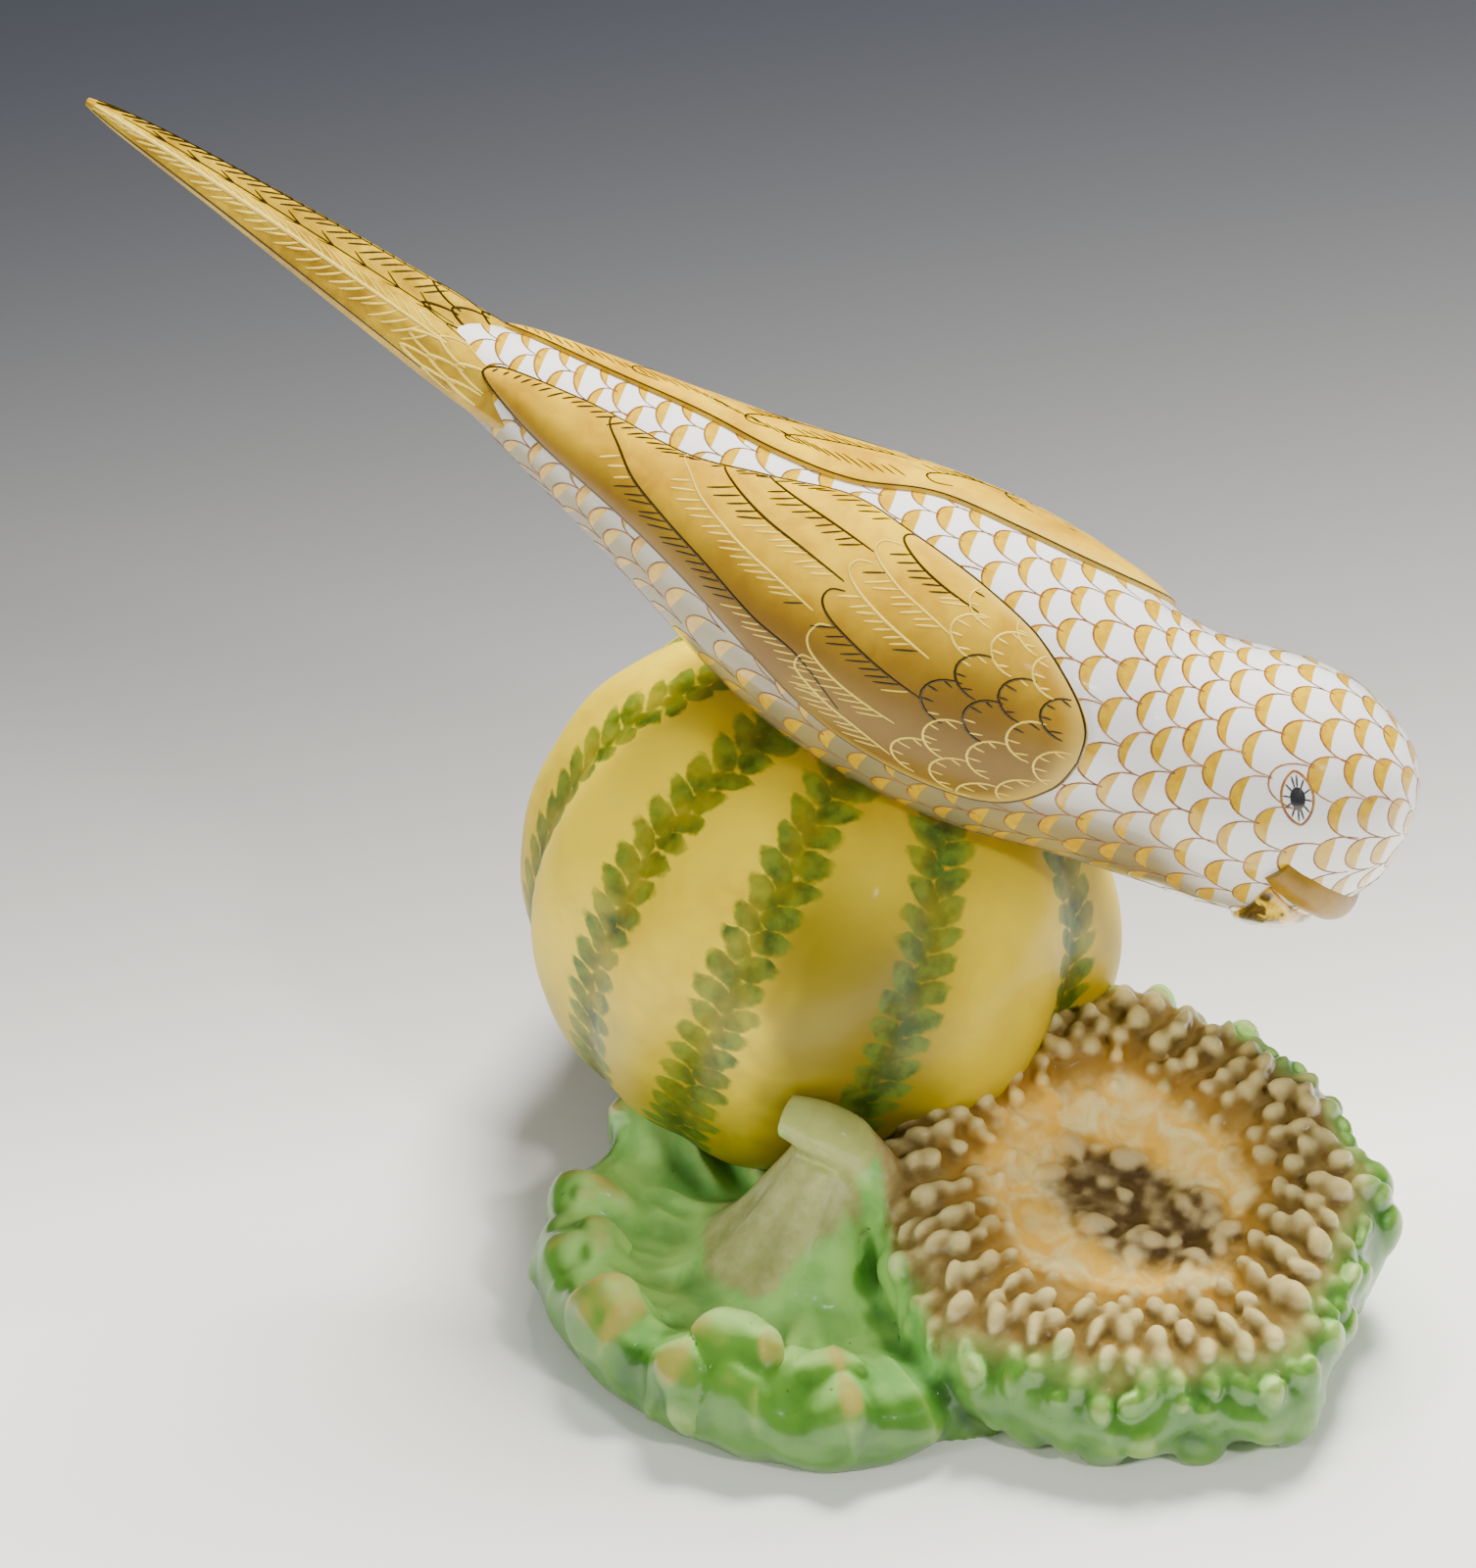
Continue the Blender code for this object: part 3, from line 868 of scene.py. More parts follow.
def burnished():
    """Polished gold with the studio's reflections painted in: bright yellow with soft dark pools of painted
    reflection.
    """
    paint = Paint("burnished")
    pool = paint.noise(5.5, 2.0, 0.5, 1.0)
    colour = paint.mix(paint.noise(2.4, 2.0).step(0.3, 0.7), rgb(252, 216, 70), rgb(206, 156, 14))
    # Painted reflection of the studio's dark: soft dark pools.
    colour = paint.mix(pool.step(0.50, 0.60), colour, rgb(74, 50, 6))
    return paint.glaze(colour, 0.22, coat=0.6, coat_rough=0.05)


def gourd_glaze():
    """Yellow washes with a garland of brushed leaves down each groove, and painted shade low down, on the
    middle right and where the bird's body lies close above.
    """
    paint = Paint("gourd_glaze")
    rib = paint.mark("rib")
    cloud = paint.noise(24.0, 3.0, 0.55, 0.4)
    streak = paint.noise(8.0, 3.0, 0.6, 1.2)
    ochre = (cloud * 0.8 + streak * 0.35 + (1 - rib) * 0.12).step(0.45, 0.95)
    colour = paint.mix(ochre, rgb(252, 220, 8), rgb(206, 168, 6))
    pale = (rib * 0.6 + streak * 0.7).step(0.85, 1.25)
    colour = paint.mix(pale * 0.6, colour, rgb(250, 226, 56))
    # Painted shade towards the bottom.
    low = (paint.mark("down") + (cloud - 0.5) * 40.0).step(74.0, 108.0)
    colour = paint.mix(low * 0.6, colour, rgb(116, 104, 8))
    # Painted shade on the middle right, below the top.
    aside = paint.mark("aside") + (cloud - 0.5) * 0.3
    shaded = aside.step(-0.12, 0.16) * (1 - aside.step(0.42, 0.7) * 0.7) * paint.mark("down").step(26.0, 60.0)
    colour = paint.mix(shaded * 0.85, colour, rgb(108, 94, 0))
    # Painted shadow of the bird's body where it lies close above.
    colour = paint.mix(paint.mark("beneath") * 0.5, colour, rgb(122, 96, 0))

    bend = (paint.noise(9.0, 1.0) - 0.5) * 3.4
    angle = paint.math("ARCTAN2", paint.mark("rib_sin"), paint.mark("rib_cos"))
    across = angle * paint.mark("rib_width") / (2 * math.pi) + bend
    down = paint.mark("down") + (paint.noise(5.0, 1.0) - 0.5) * 2.4
    nearest = None
    for side in (-1.0, 1.0):
        shifted = down / LEAF_PITCH + (0.25 if side > 0 else -0.25)
        cell = shifted.floor()
        for neighbour in (0, 1):
            along = (shifted - cell - neighbour) * LEAF_PITCH
            u = across * side * LEAF_COS - along * LEAF_SIN - LEAF_OUT
            v = across * side * LEAF_SIN + along * LEAF_COS
            leaf = (u / LEAF_HALF[0]) ** 2.0 + (v / LEAF_HALF[1]) ** 2.0
            nearest = leaf if nearest is None else nearest.least(leaf)
    ragged = nearest * (0.55 + paint.noise(5.0, 1.0) * 0.9) + (paint.noise(1.6, 3.0, 0.6) - 0.5) * 1.1
    leaf_mask = 1 - ragged.step(0.6, 1.3)
    fade = 0.35 + paint.noise(6.0, 2.0) * 0.9
    middle = 1 - abs(across).step(0.8, 4.2)
    tone = (paint.noise(2.6, 3.0, 0.6) - middle * 0.2).step(0.2, 0.65)
    leaf_colour = paint.mix(tone, rgb(42, 74, 12), rgb(92, 124, 32))
    colour = paint.mix((leaf_mask * fade).clip(), colour, leaf_colour)
    normal = paint.bump(paint.noise(12.0, 3.0), 0.35, 0.25)
    return paint.glaze(colour, 0.5, normal, coat=0.14, coat_rough=0.1)


def heads_glaze():
    """Brushed greens, tan lobes and foot, and a face of tan seeds round an orange ring and a dark heart;
    painted shade on the outer walls and in the hollows, painted highlights on what stands proud.
    """
    paint = Paint("heads_glaze")
    proud = paint.mark("proud")
    fine = paint.mark("fine")
    cloud = paint.noise(15.0, 3.0, 0.55, 0.8)
    wash = paint.noise(5.0, 3.0, 0.6, 0.8)
    dab = paint.noise(2.4, 3.0, 0.6)

    # The outer walls take darker copies of each green: painted shade.
    wall = paint.mark("wall")
    # Darker green partly at random and partly as painted shade where the relief sinks.
    deep = (cloud * 0.9 + wash * 0.3 - proud * 0.22).step(0.42, 0.85)
    fresh = paint.mix(wall, rgb(170, 218, 112), rgb(88, 138, 42))
    green = paint.mix(deep, fresh, paint.mix(wall, rgb(122, 184, 88), rgb(58, 106, 32)))
    # Painted shade in the hollows.
    hole = (0.1 - proud + (wash - 0.5) * 0.8).step(0.1, 1.3)
    green = paint.mix(hole * 0.7, green, paint.mix(wall, rgb(88, 150, 62), rgb(38, 74, 20)))
    # Painted highlight on what stands proud.
    pale = (proud * 0.9 + fine * 0.9 + (wash - 0.5) * 1.3).step(0.5, 1.9)
    green = paint.mix(pale * 0.7, green, paint.mix(wall, rgb(222, 232, 152), rgb(160, 186, 92)))

    tan = (paint.mark("rim") * (0.35 + cloud * 0.8 + dab * 0.3)).step(0.25, 0.85)
    green = paint.mix(tan * 0.75, green, paint.mix(wash, rgb(196, 178, 88), rgb(152, 122, 44)))
    foot = (paint.mark("foot") + (wash - 0.5) * 0.7).step(0.3, 0.8)
    bark = paint.mix((fine * 0.8 + dab * 0.6).step(0.0, 0.8), rgb(158, 142, 80), rgb(220, 208, 148))
    green = paint.mix(foot * 0.8, green, bark)
    cut = (paint.mark("cut") + (dab - 0.5) * 0.4).step(0.35, 0.7)
    green = paint.mix(cut * 0.9, green, paint.mix(wash, rgb(196, 204, 112), rgb(150, 152, 70)))
    speck = paint.noise(1.2, 0.0).step(0.84, 0.88)
    green = paint.mix(speck * 0.6, green, rgb(70, 44, 14))

    share = paint.mark("share") + (paint.noise(9.0, 3.0, 0.6) - 0.5) * 0.22
    # Seeds: painted shade between them, painted highlight on their crests.
    crest = (fine * 1.1 + (dab - 0.5) * 0.5).step(-0.35, 0.75)
    seeds = paint.mix(crest, rgb(122, 96, 42), rgb(222, 202, 132))
    seeds = paint.mix((fine + (dab - 0.5) * 0.8).step(0.5, 1.4) * 0.8, seeds, rgb(236, 226, 176))
    glow = paint.noise(6.0, 3.0, 0.6, 0.8)
    orange = paint.mix(glow.step(0.35, 0.7), rgb(252, 196, 72), rgb(255, 234, 156))
    seeds = paint.mix((1 - crest) * (1 - share.step(0.48, 0.70)) * 0.7, seeds, rgb(196, 140, 30))
    face = paint.mix(1 - share.step(0.44, 0.54), seeds, orange)
    heart = (paint.mark("heart") + (paint.noise(5.0, 3.0, 0.6) - 0.5) * 0.5).step(0.3, 0.75)
    # The heart's crumbs: painted shade between them, painted highlight on their tops.
    dark = paint.mix((fine * 1.8 + (dab - 0.5) * 0.6).step(-0.35, 0.6), rgb(86, 64, 32), rgb(204, 180, 122))
    face = paint.mix(heart, face, dark)
    edge = (share.step(0.84, 1.0) + (1 - paint.mark("face"))).clip()
    colour = paint.mix(edge, face, green)
    normal = paint.bump(dab, 0.3, 0.3)
    return paint.glaze(colour, 0.38, normal, coat=0.55, coat_rough=0.14)


# Strokes


class Strokes:
    """Brush lines gathered as runs of points with the surface's normal and a half width."""

    def __init__(self):
        self.points = []
        self.normals = []
        self.halves = []
        self.edges = []

    def add(self, points, normals, half, taper=True):
        start = len(self.points)
        share = np.linspace(0, 1, len(points))
        width = np.full(len(points), half)
        if taper:
            width = half * (0.45 + 0.55 * np.sin(math.pi * np.clip(share, 0.0, 1.0)) ** 0.5)
        self.points.extend(points)
        self.normals.extend(normals)
        self.halves.extend(width)
        self.edges.extend((start + i, start + i + 1) for i in range(len(points) - 1))


class GoldStrokes:
    """Gold lines in two painted tones that stand in for reflections: dark where they face up to the studio's
    dark, bright elsewhere.
    """

    def __init__(self):
        self.bright = Strokes()
        self.dark = Strokes()

    def add(self, points, normals, half, taper=True):
        high = float(np.mean(np.array(normals)[:, 2]))
        low, top = DARK_BAND
        chosen = self.dark if high > DARK_FROM or low < high < top else self.bright
        chosen.add(points, normals, half, taper)


def new_tree(name, inputs):
    """A Geometry Nodes tree of geometry, the named inputs and a material, with its first node."""
    tree = bpy.data.node_groups.new(name, "GeometryNodeTree")
    kinds = {"Geometry": "Geometry", **inputs, "Material": "Material"}
    for label, kind in kinds.items():
        tree.interface.new_socket(label, in_out="INPUT", socket_type="NodeSocket" + kind)
    tree.interface.new_socket("Geometry", in_out="OUTPUT", socket_type="NodeSocketGeometry")
    return tree, tree.nodes.new("NodeGroupInput")


def point_value(tree, name, kind):
    """A node that reads a named value of each point."""
    node = tree.nodes.new("GeometryNodeInputNamedAttribute")
    node.data_type = kind
    node.inputs["Name"].default_value = name
    return node


def end_tree(tree, start, geometry):
    """Ends a tree: the geometry is made real and takes the tree's material."""
    real = tree.nodes.new("GeometryNodeRealizeInstances")
    paint = tree.nodes.new("GeometryNodeSetMaterial")
    end = tree.nodes.new("NodeGroupOutput")
    tree.links.new(geometry, real.inputs["Geometry"])
    tree.links.new(real.outputs["Geometry"], paint.inputs["Geometry"])
    tree.links.new(start.outputs["Material"], paint.inputs["Material"])
    tree.links.new(paint.outputs["Geometry"], end.inputs["Geometry"])
    return tree


def stroke_tree():
    """Geometry Nodes: a flat, slightly crowned brush line along every run of edges."""
    tree, start = new_tree("brush_lines", {"Crown": "Float", "Sides": "Int"})
    new = tree.nodes.new
    link = tree.links.new
    curve = new("GeometryNodeMeshToCurve")
    link(start.outputs["Geometry"], curve.inputs["Mesh"])
    facing = point_value(tree, "facing", "FLOAT_VECTOR")
    normal = new("GeometryNodeSetCurveNormal")
    normal.mode = "FREE"
    link(curve.outputs["Curve"], normal.inputs["Curve"])
    link(facing.outputs["Attribute"], normal.inputs["Normal"])
    half = point_value(tree, "half", "FLOAT")
    profile = new("GeometryNodeCurvePrimitiveCircle")
    profile.inputs["Radius"].default_value = 1.0
    link(start.outputs["Sides"], profile.inputs["Resolution"])
    flat = new("GeometryNodeTransform")
    link(profile.outputs["Curve"], flat.inputs["Geometry"])
    size = new("ShaderNodeCombineXYZ")
    size.inputs[1].default_value = 1.0
    size.inputs[2].default_value = 1.0
    link(start.outputs["Crown"], size.inputs[0])
    link(size.outputs[0], flat.inputs["Scale"])
    sweep = new("GeometryNodeCurveToMesh")
    sweep.inputs["Fill Caps"].default_value = True
    link(normal.outputs["Curve"], sweep.inputs["Curve"])
    link(flat.outputs["Geometry"], sweep.inputs["Profile Curve"])
    link(half.outputs["Attribute"], sweep.inputs["Scale"])
    return end_tree(tree, start, sweep.outputs["Mesh"])


def run_tree(name, source, tree, values):
    """Runs a Geometry Nodes tree on a source object and keeps the result as a plain mesh."""
    modifier = source.modifiers.new("grow", "NODES")
    modifier.node_group = tree
    for item in tree.interface.items_tree:
        if item.item_type == "SOCKET" and item.in_out == "INPUT" and item.name in values:
            modifier[item.identifier] = values[item.name]
    graph = bpy.context.evaluated_depsgraph_get()
    mesh = bpy.data.meshes.new_from_object(source.evaluated_get(graph))
    mesh.name = name
    mesh.polygons.foreach_set("use_smooth", [True] * len(mesh.polygons))
    bpy.data.objects.remove(source, do_unlink=True)
    return add_object(name, mesh)


def paint_strokes(name, strokes, tree, material, crown=LINE_CROWN, sides=LINE_SIDES):
    """One mesh of brush lines; crown is a line's height over its half width."""
    mesh = bpy.data.meshes.new(name + "_runs")
    mesh.from_pydata((np.array(strokes.points) * MM).tolist(), strokes.edges, [])
    facing = mesh.attributes.new("facing", "FLOAT_VECTOR", "POINT")
    facing.data.foreach_set("vector", np.array(strokes.normals, np.float32).ravel())
    half = mesh.attributes.new("half", "FLOAT", "POINT")
    half.data.foreach_set("value", np.array(strokes.halves, np.float32) * MM)
    source = add_object(name + "_runs", mesh)
    return run_tree(name, source, tree, {"Crown": crown, "Sides": sides, "Material": material})


# Pieces


def bird_body(material):
    """Body and head, with a mark for the painted shade on the underside."""

    def place(share, turn):
        return loft(BODY, share * (len(BODY) - 1), turn)

    def marks(share, turn, points):
        aside = np.degrees(math.pi - np.abs(turn - math.pi))
        near_head = soft_step(share * (len(BODY) - 1), 11.5, 13.5)
        return {"under": soft_step(aside - 34.0 * near_head, 68.0, 106.0)}

    return closed_grid("bird_body", place, *BODY_GRID, material, marks=marks)


def wing_piece(name, wing, material):
    """The raised pad of a folded wing, with its underside sunk in the body."""

    def where(share, turn):
        out = np.sin(share * math.pi)
        edge = wing.edge(turn)
        return np.array(WING_HUB) + (edge - np.array(WING_HUB)) * out[..., None], out

    def place(share, turn):
        spot, out = where(share, turn)
        rise = np.cos(share * math.pi)
        lift = np.where(rise > 0, wing.lift(out), WING_ROOT * rise - WING_SINK)
        point, _ = on_body(spot[..., 0], np.radians(spot[..., 1]), lift)
        return wing.turned(point)

    def marks(share, turn, points):
        spot, out = where(share, turn)
        s = spot[..., 0]
        a = spot[..., 1]
        # Marks for the glaze's painted shade (shoulder, low) and painted highlight (rim).
        shoulder = np.exp(-(((s - 8.6) / 1.5) ** 2) - ((a - 66.0) / 26.0) ** 2)
        low = soft_step(a, 48.0, 76.0)
        return {"rim": soft_step(out, 0.88, 0.99) * soft_step(s, 6.0, 8.5), "shoulder": shoulder, "low": low}

    return closed_grid(name, place, *WING_GRID, material, marks=marks)


def tail_shape(at, angle):
    """The tail's section: a long soft ridge on either side of its hollowed back."""
    points = loft(TAIL, at, angle, TAIL_RIDGE)
    degrees = np.degrees(np.mod(angle + math.pi, 2 * math.pi) - math.pi)
    row = spline(TAIL, at)
    ridge = np.exp(-(((np.abs(degrees) - TAIL_QUILL) / QUILL_RIDGE[0]) ** 2)) * QUILL_RIDGE[1]
    hollow = np.exp(-((degrees / TAIL_HOLLOW[0]) ** 2)) * TAIL_HOLLOW[1]
    middle = np.stack([row[..., 0], np.full(row[..., 0].shape, BIRD_Y), row[..., 1]], -1)
    return middle + (points - middle) * (1 + ridge - hollow)[..., None]


def tail_piece(material):
    """The long tail."""

    def place(share, turn):
        return tail_shape(share * (len(TAIL) - 1), turn)

    return closed_grid("tail", place, *TAIL_GRID, material)


def bar_place(path, radius):
    """A round bar with closed ends along path(share)."""

    def place(share, turn):
        along = np.clip((share - BAR_CAP) / (1 - 2 * BAR_CAP), 0.0, 1.0)
        middle = path(along)
        ahead = path(along + 0.01) - path(along - 0.01)
        ahead = ahead / np.linalg.norm(ahead, axis=-1)[..., None]
        side = np.cross(ahead, np.array([0.21, 0.93, 0.31]))
        side /= np.linalg.norm(side, axis=-1)[..., None]
        high = np.cross(side, ahead)
        cap = np.clip(np.sin(share * math.pi) / math.sin(BAR_CAP * math.pi), 0.0, 1.0)
        cap = np.sqrt(1 - (1 - cap) ** 2)
        reach = radius(along) * cap
        return middle + reach[..., None] * (np.cos(turn)[..., None] * side + np.sin(turn)[..., None] * high)

    return place


def cere_piece(material):
    """The fleshy band over the beak, from eye to eye below the head."""
    last = len(CERE) - 1

    def path(share):
        row = spline(CERE, share * last)
        return on_body(row[..., 0], np.radians(row[..., 1]), CERE_OUT)[0]

    place = bar_place(path, lambda share: spline(CERE, share * last)[..., 2])
    return closed_grid("cere", place, *CERE_GRID, material)


def beak_piece(material):
    """The burnished beak, a low mound folded round the underside of the head."""
    last = len(BEAK_EDGE) - 1

    def place(share, turn):
        half = turn / math.pi
        far = half > 1.0
        edge = spline(BEAK_EDGE, np.where(far, 2.0 - half, half) * last)
        degrees = np.where(far, 360.0 - edge[..., 1], edge[..., 1])
        out = np.sin(share * math.pi)
        rise = np.cos(share * math.pi)
        lift = np.where(rise > 0, BEAK_LIFT * np.sqrt(np.abs(rise)), BEAK_SINK * rise) - EDGE_SINK
        s = BEAK_MIDDLE[0] + (edge[..., 0] - BEAK_MIDDLE[0]) * out
        angle = BEAK_MIDDLE[1] + (degrees - BEAK_MIDDLE[1]) * out
        return on_body(s, np.radians(angle), lift)[0]

    return closed_grid("beak", place, *BEAK_GRID, material)


def gourd_axes():
    """The gourd's front, right and upward directions."""
    up = np.array(GOURD_AXIS)
    up /= np.linalg.norm(up)
    turn = math.radians(UP_TURN)
    front = np.array([math.sin(turn), -math.cos(turn), 0.0])
    front -= front.dot(up) * up
    front /= np.linalg.norm(front)
    return front, np.cross(up, front), up


def gourd_share(turn):
    """How far across its rib a turn lies, from 0 to 1, and the rib's width in degrees."""
    degrees = np.mod(np.degrees(turn) - GOURD_GROOVES[0], 360.0)
    edges = np.array(GOURD_GROOVES + [GOURD_GROOVES[0] + 360.0]) - GOURD_GROOVES[0]
    rib = np.clip(np.searchsorted(edges, degrees, side="right") - 1, 0, len(edges) - 2)
    wide = edges[rib + 1] - edges[rib]
    return (degrees - edges[rib]) / wide, wide


def body_gap(points):
    """About how far each point lies from the bird's body."""
    gap = np.full(points.shape[:-1], 1e3)
    for row in spline(BODY, np.linspace(2.0, len(BODY) - 1.0, 70)):
        middle = np.array([row[0], BIRD_Y, row[1]])
        gap = np.minimum(gap, np.linalg.norm(points - middle, axis=-1) - (row[2] + row[3]) / 2)
    return gap


def gourd_piece(material):
    """The ribbed gourd, its ribs of unequal width."""
    front, right, up = gourd_axes()

    def bulge(turn):
        wave = np.sin(math.pi * gourd_share(turn)[0]) ** 2
        return (np.sqrt(wave + 0.03) - 0.173) / 0.842

    def place(share, turn):
        level = np.sin(share * math.pi)
        high = np.cos(share * math.pi)
        reach = GOURD_EQUATOR - GOURD_GROOVE * (1 - bulge(turn)) * level**0.6
        flat = reach * level ** np.where(high < 0, 0.86, 1.0)
        points = flat[..., None] * (np.cos(turn)[..., None] * front + np.sin(turn)[..., None] * right)
        points = points + (GOURD_POLE * high)[..., None] * up + np.array(GOURD_CENTRE)
        swell = lattice_noise(points, 19.0, 3) * 1.1 + lattice_noise(points, 9.0, 4) * 0.3
        away = points - np.array(GOURD_CENTRE)
        away /= np.linalg.norm(away, axis=-1)[..., None] + 1e-9
        points += swell[..., None] * away * level[..., None]
        points[..., 2] = np.maximum(points[..., 2], 0.0)
        return points

    def marks(share, turn, points):
        part, wide = gourd_share(turn)
        level = np.sin(share * math.pi)
        return {
            "rib": bulge(turn),
            "rib_sin": np.sin(2 * math.pi * part),
            "rib_cos": np.cos(2 * math.pi * part),
            "rib_width": np.radians(wide) * GOURD_EQUATOR * level,
            "down": share * math.pi * (GOURD_EQUATOR + GOURD_POLE) / 2,
            # Places for the glaze's painted shade and for the bird's painted shadow.
            "aside": (points[..., 0] - GOURD_CENTRE[0]) / GOURD_EQUATOR,
            "beneath": 1 - soft_step(body_gap(points), 2.0, 15.0),
        }

    return closed_grid("gourd", place, *GOURD_GRID, material, marks=marks)


def around(table, degrees, column):
    """A table's column at each angle, eased between its rows and closed round the circle."""
    rows = np.array(sorted(table))
    angles = np.concatenate([[rows[-1, 0] - 360.0], rows[:, 0], [rows[0, 0] + 360.0]])
    values = np.concatenate([[rows[-1, column]], rows[:, column], [rows[0, column]]])
    degrees = np.mod(degrees - angles[0], 360.0) + angles[0]
    low = np.clip(np.searchsorted(angles, degrees, side="right") - 1, 0, len(angles) - 2)
    share = soft_step(degrees, angles[low], angles[low + 1])
    return values[low] * (1 - share) + values[low + 1] * share


def calyx_core():
    """The head turned down: a frilled rim that stands round a hollow."""

    def place(share, turn):
        degrees = np.degrees(turn)
        crest = around(DOWN_CREST, degrees, 1)
        top = around(DOWN_CREST, degrees, 2)
        ground = around(DOWN_GROUND, degrees, 1)
        fold = np.clip((top - 13.0) / 5.0, -0.6, 1.0)
        inner = np.clip(share / 0.5, 0.0, 1.0)
        floor = height_at(DOWN_FLOOR, inner)
        rise = soft_step(inner, 0.70, 0.98)
        inside = floor + (top - floor) * rise + 1.3 * fold * soft_step(inner, 0.4, 0.7) * (1 - rise)
        outer = np.clip((share - 0.5) / 0.32, 0.0, 1.0) * math.pi / 2
        under = np.clip((share - 0.82) / 0.08, 0.0, 1.0)
        base = np.clip((share - 0.90) / 0.10, 0.0, 1.0)
        wall = crest + (ground - crest) * np.sin(outer) ** 0.8
        wall = wall + 1.4 * fold * np.sin(outer * 2) + 0.5 * fold * np.sin(outer)
        reach = np.where(share < 0.5, crest * inner, (wall - 2.0 * under**2) * (1 - base))
        down = 6.0 + (top - 6.0) * np.cos(outer) ** 0.9
        z = np.where(share < 0.5, inside, down - 6.0 * under)
        x = DOWN_CENTRE[0] + reach * np.cos(turn)
        y = DOWN_CENTRE[1] + reach * np.sin(turn)
        return np.stack([x, y, np.maximum(z, 0.0)], -1)

    return closed_grid("calyx", place, *CALYX_GRID)


def foot_core():
    """The ribbed foot of the stalk, flaring into the hollow."""
    top = np.array(FOOT_TOP)
    base = np.array(FOOT_BASE)

    def place(share, turn):
        along = np.clip((share - BAR_CAP) / (1 - 2 * BAR_CAP), 0.0, 1.0)
        middle = top + (base - top) * along[..., None]
        reach = foot_reach(along)
        rib = np.abs(np.sin(3.5 * turn + 0.4 + 0.4 * along)) ** 0.7
        reach = reach * (0.90 + 0.18 * rib * np.clip(along * 2.0 + 0.3, 0, 1))
        cap = np.clip(np.sin(share * math.pi) / math.sin(BAR_CAP * math.pi), 0.0, 1.0)
        flat = np.stack([np.cos(turn), np.sin(turn), np.zeros_like(turn)], -1)
        return middle + (reach * cap)[..., None] * flat

    return closed_grid("foot", place, *FOOT_GRID)


def foot_reach(along):
    """The foot's radius at a share of its height from the top."""
    return FOOT_RADII[0] + (FOOT_RADII[1] - FOOT_RADII[0]) * along**1.7


def bar(name, rows, count):
    """A round bar with closed ends through rows of (x, y, z, radius)."""
    rows = np.array(rows, float)
    last = len(rows) - 1

    def path(share):
        return spline(rows, share * last)[..., :3]

    place = bar_place(path, lambda share: spline(rows, share * last)[..., 3])
    return closed_grid(name, place, *count)


def blob(centre, radii, bearing=0.0, tilt=0.0):
    """An ellipsoid with its first radius along a bearing, tipped up by tilt."""

    def place(share, turn):
        level = np.sin(share * math.pi)
        local = np.stack([level * np.cos(turn), level * np.sin(turn), np.cos(share * math.pi)], -1)
        local = local * np.array(radii)
        along = local[..., 0] * math.cos(tilt) - local[..., 2] * math.sin(tilt)
        high = local[..., 0] * math.sin(tilt) + local[..., 2] * math.cos(tilt)
        x = along * math.cos(bearing) - local[..., 1] * math.sin(bearing)
        y = along * math.sin(bearing) + local[..., 1] * math.cos(bearing)
        points = np.stack([x, y, high], -1) + np.array(centre)
        points[..., 2] = np.maximum(points[..., 2], 0.2 * high / max(radii))
        return points

    return closed_grid("lump", place, *LUMP_GRID)


def calyx_lumps():
    """Curled lobes on the rim, each with a buttress down the outer wall, and folds in the hollow."""
    pieces = []
    centre = np.array(DOWN_CENTRE)
    for x, y, z, size in RIM_LOBES:
        away = np.array([x, y]) - centre
        bearing = math.atan2(away[1], away[0])
        unit = away / np.linalg.norm(away)
        pieces.append(blob((x, y, z - 1.6), (size * 0.62, size * 0.78, size * 0.62), bearing, -0.3))
        inside = np.array([x, y]) - unit * size * 0.8
        outside = np.array([x, y]) + unit * 2.0
        ground = centre + unit * (around(DOWN_GROUND, np.degrees(bearing), 1) - 1.6)
        side = np.array([-unit[1], unit[0]]) * size * 0.42
        for shift, thick in ((side, 0.30), (-side, 0.26)):
            rows = [
                (*(inside + shift * 0.6), z - 4.5, size * 0.2),
                (x + shift[0], y + shift[1], z - 0.8, size * (thick + 0.08)),
                (*(outside + shift), z * 0.6, size * (thick + 0.06)),
                (*(ground + shift * 1.3), 2.6, size * thick * 0.8),
            ]
            pieces.append(bar("buttress", rows, BUTTRESS_GRID))
    top = np.array(FOOT_TOP)
    for degrees, length in HOLLOW_FOLDS:
        unit = np.array([math.cos(math.radians(degrees)), math.sin(math.radians(degrees))])
        start = top[:2] + unit * 4.0
        middle = top[:2] + unit * length * 0.5
        end = top[:2] + unit * length
        rows = [(*start, 24.0, 2.2), (*middle, 10.4, 2.6), (*end, 8.0, 1.0)]
        pieces.append(bar("fold", rows, FOLD_GRID))
    return pieces


def up_frame(across, depth, height):
    """Points from places about the seed head's middle."""
    turn = math.radians(UP_TURN)
    x = UP_CENTRE[0] + across * math.cos(turn) - depth * math.sin(turn)
    y = UP_CENTRE[1] + across * math.sin(turn) + depth * math.cos(turn)
    return np.stack([x, y, height], -1)


def up_local(points):
    """How far across and how deep each point lies from the seed head's middle."""
    turn = math.radians(UP_TURN)
    x = points[..., 0] - UP_CENTRE[0]
    y = points[..., 1] - UP_CENTRE[1]
    across = x * math.cos(turn) + y * math.sin(turn)
    depth = -x * math.sin(turn) + y * math.cos(turn)
    return across, depth


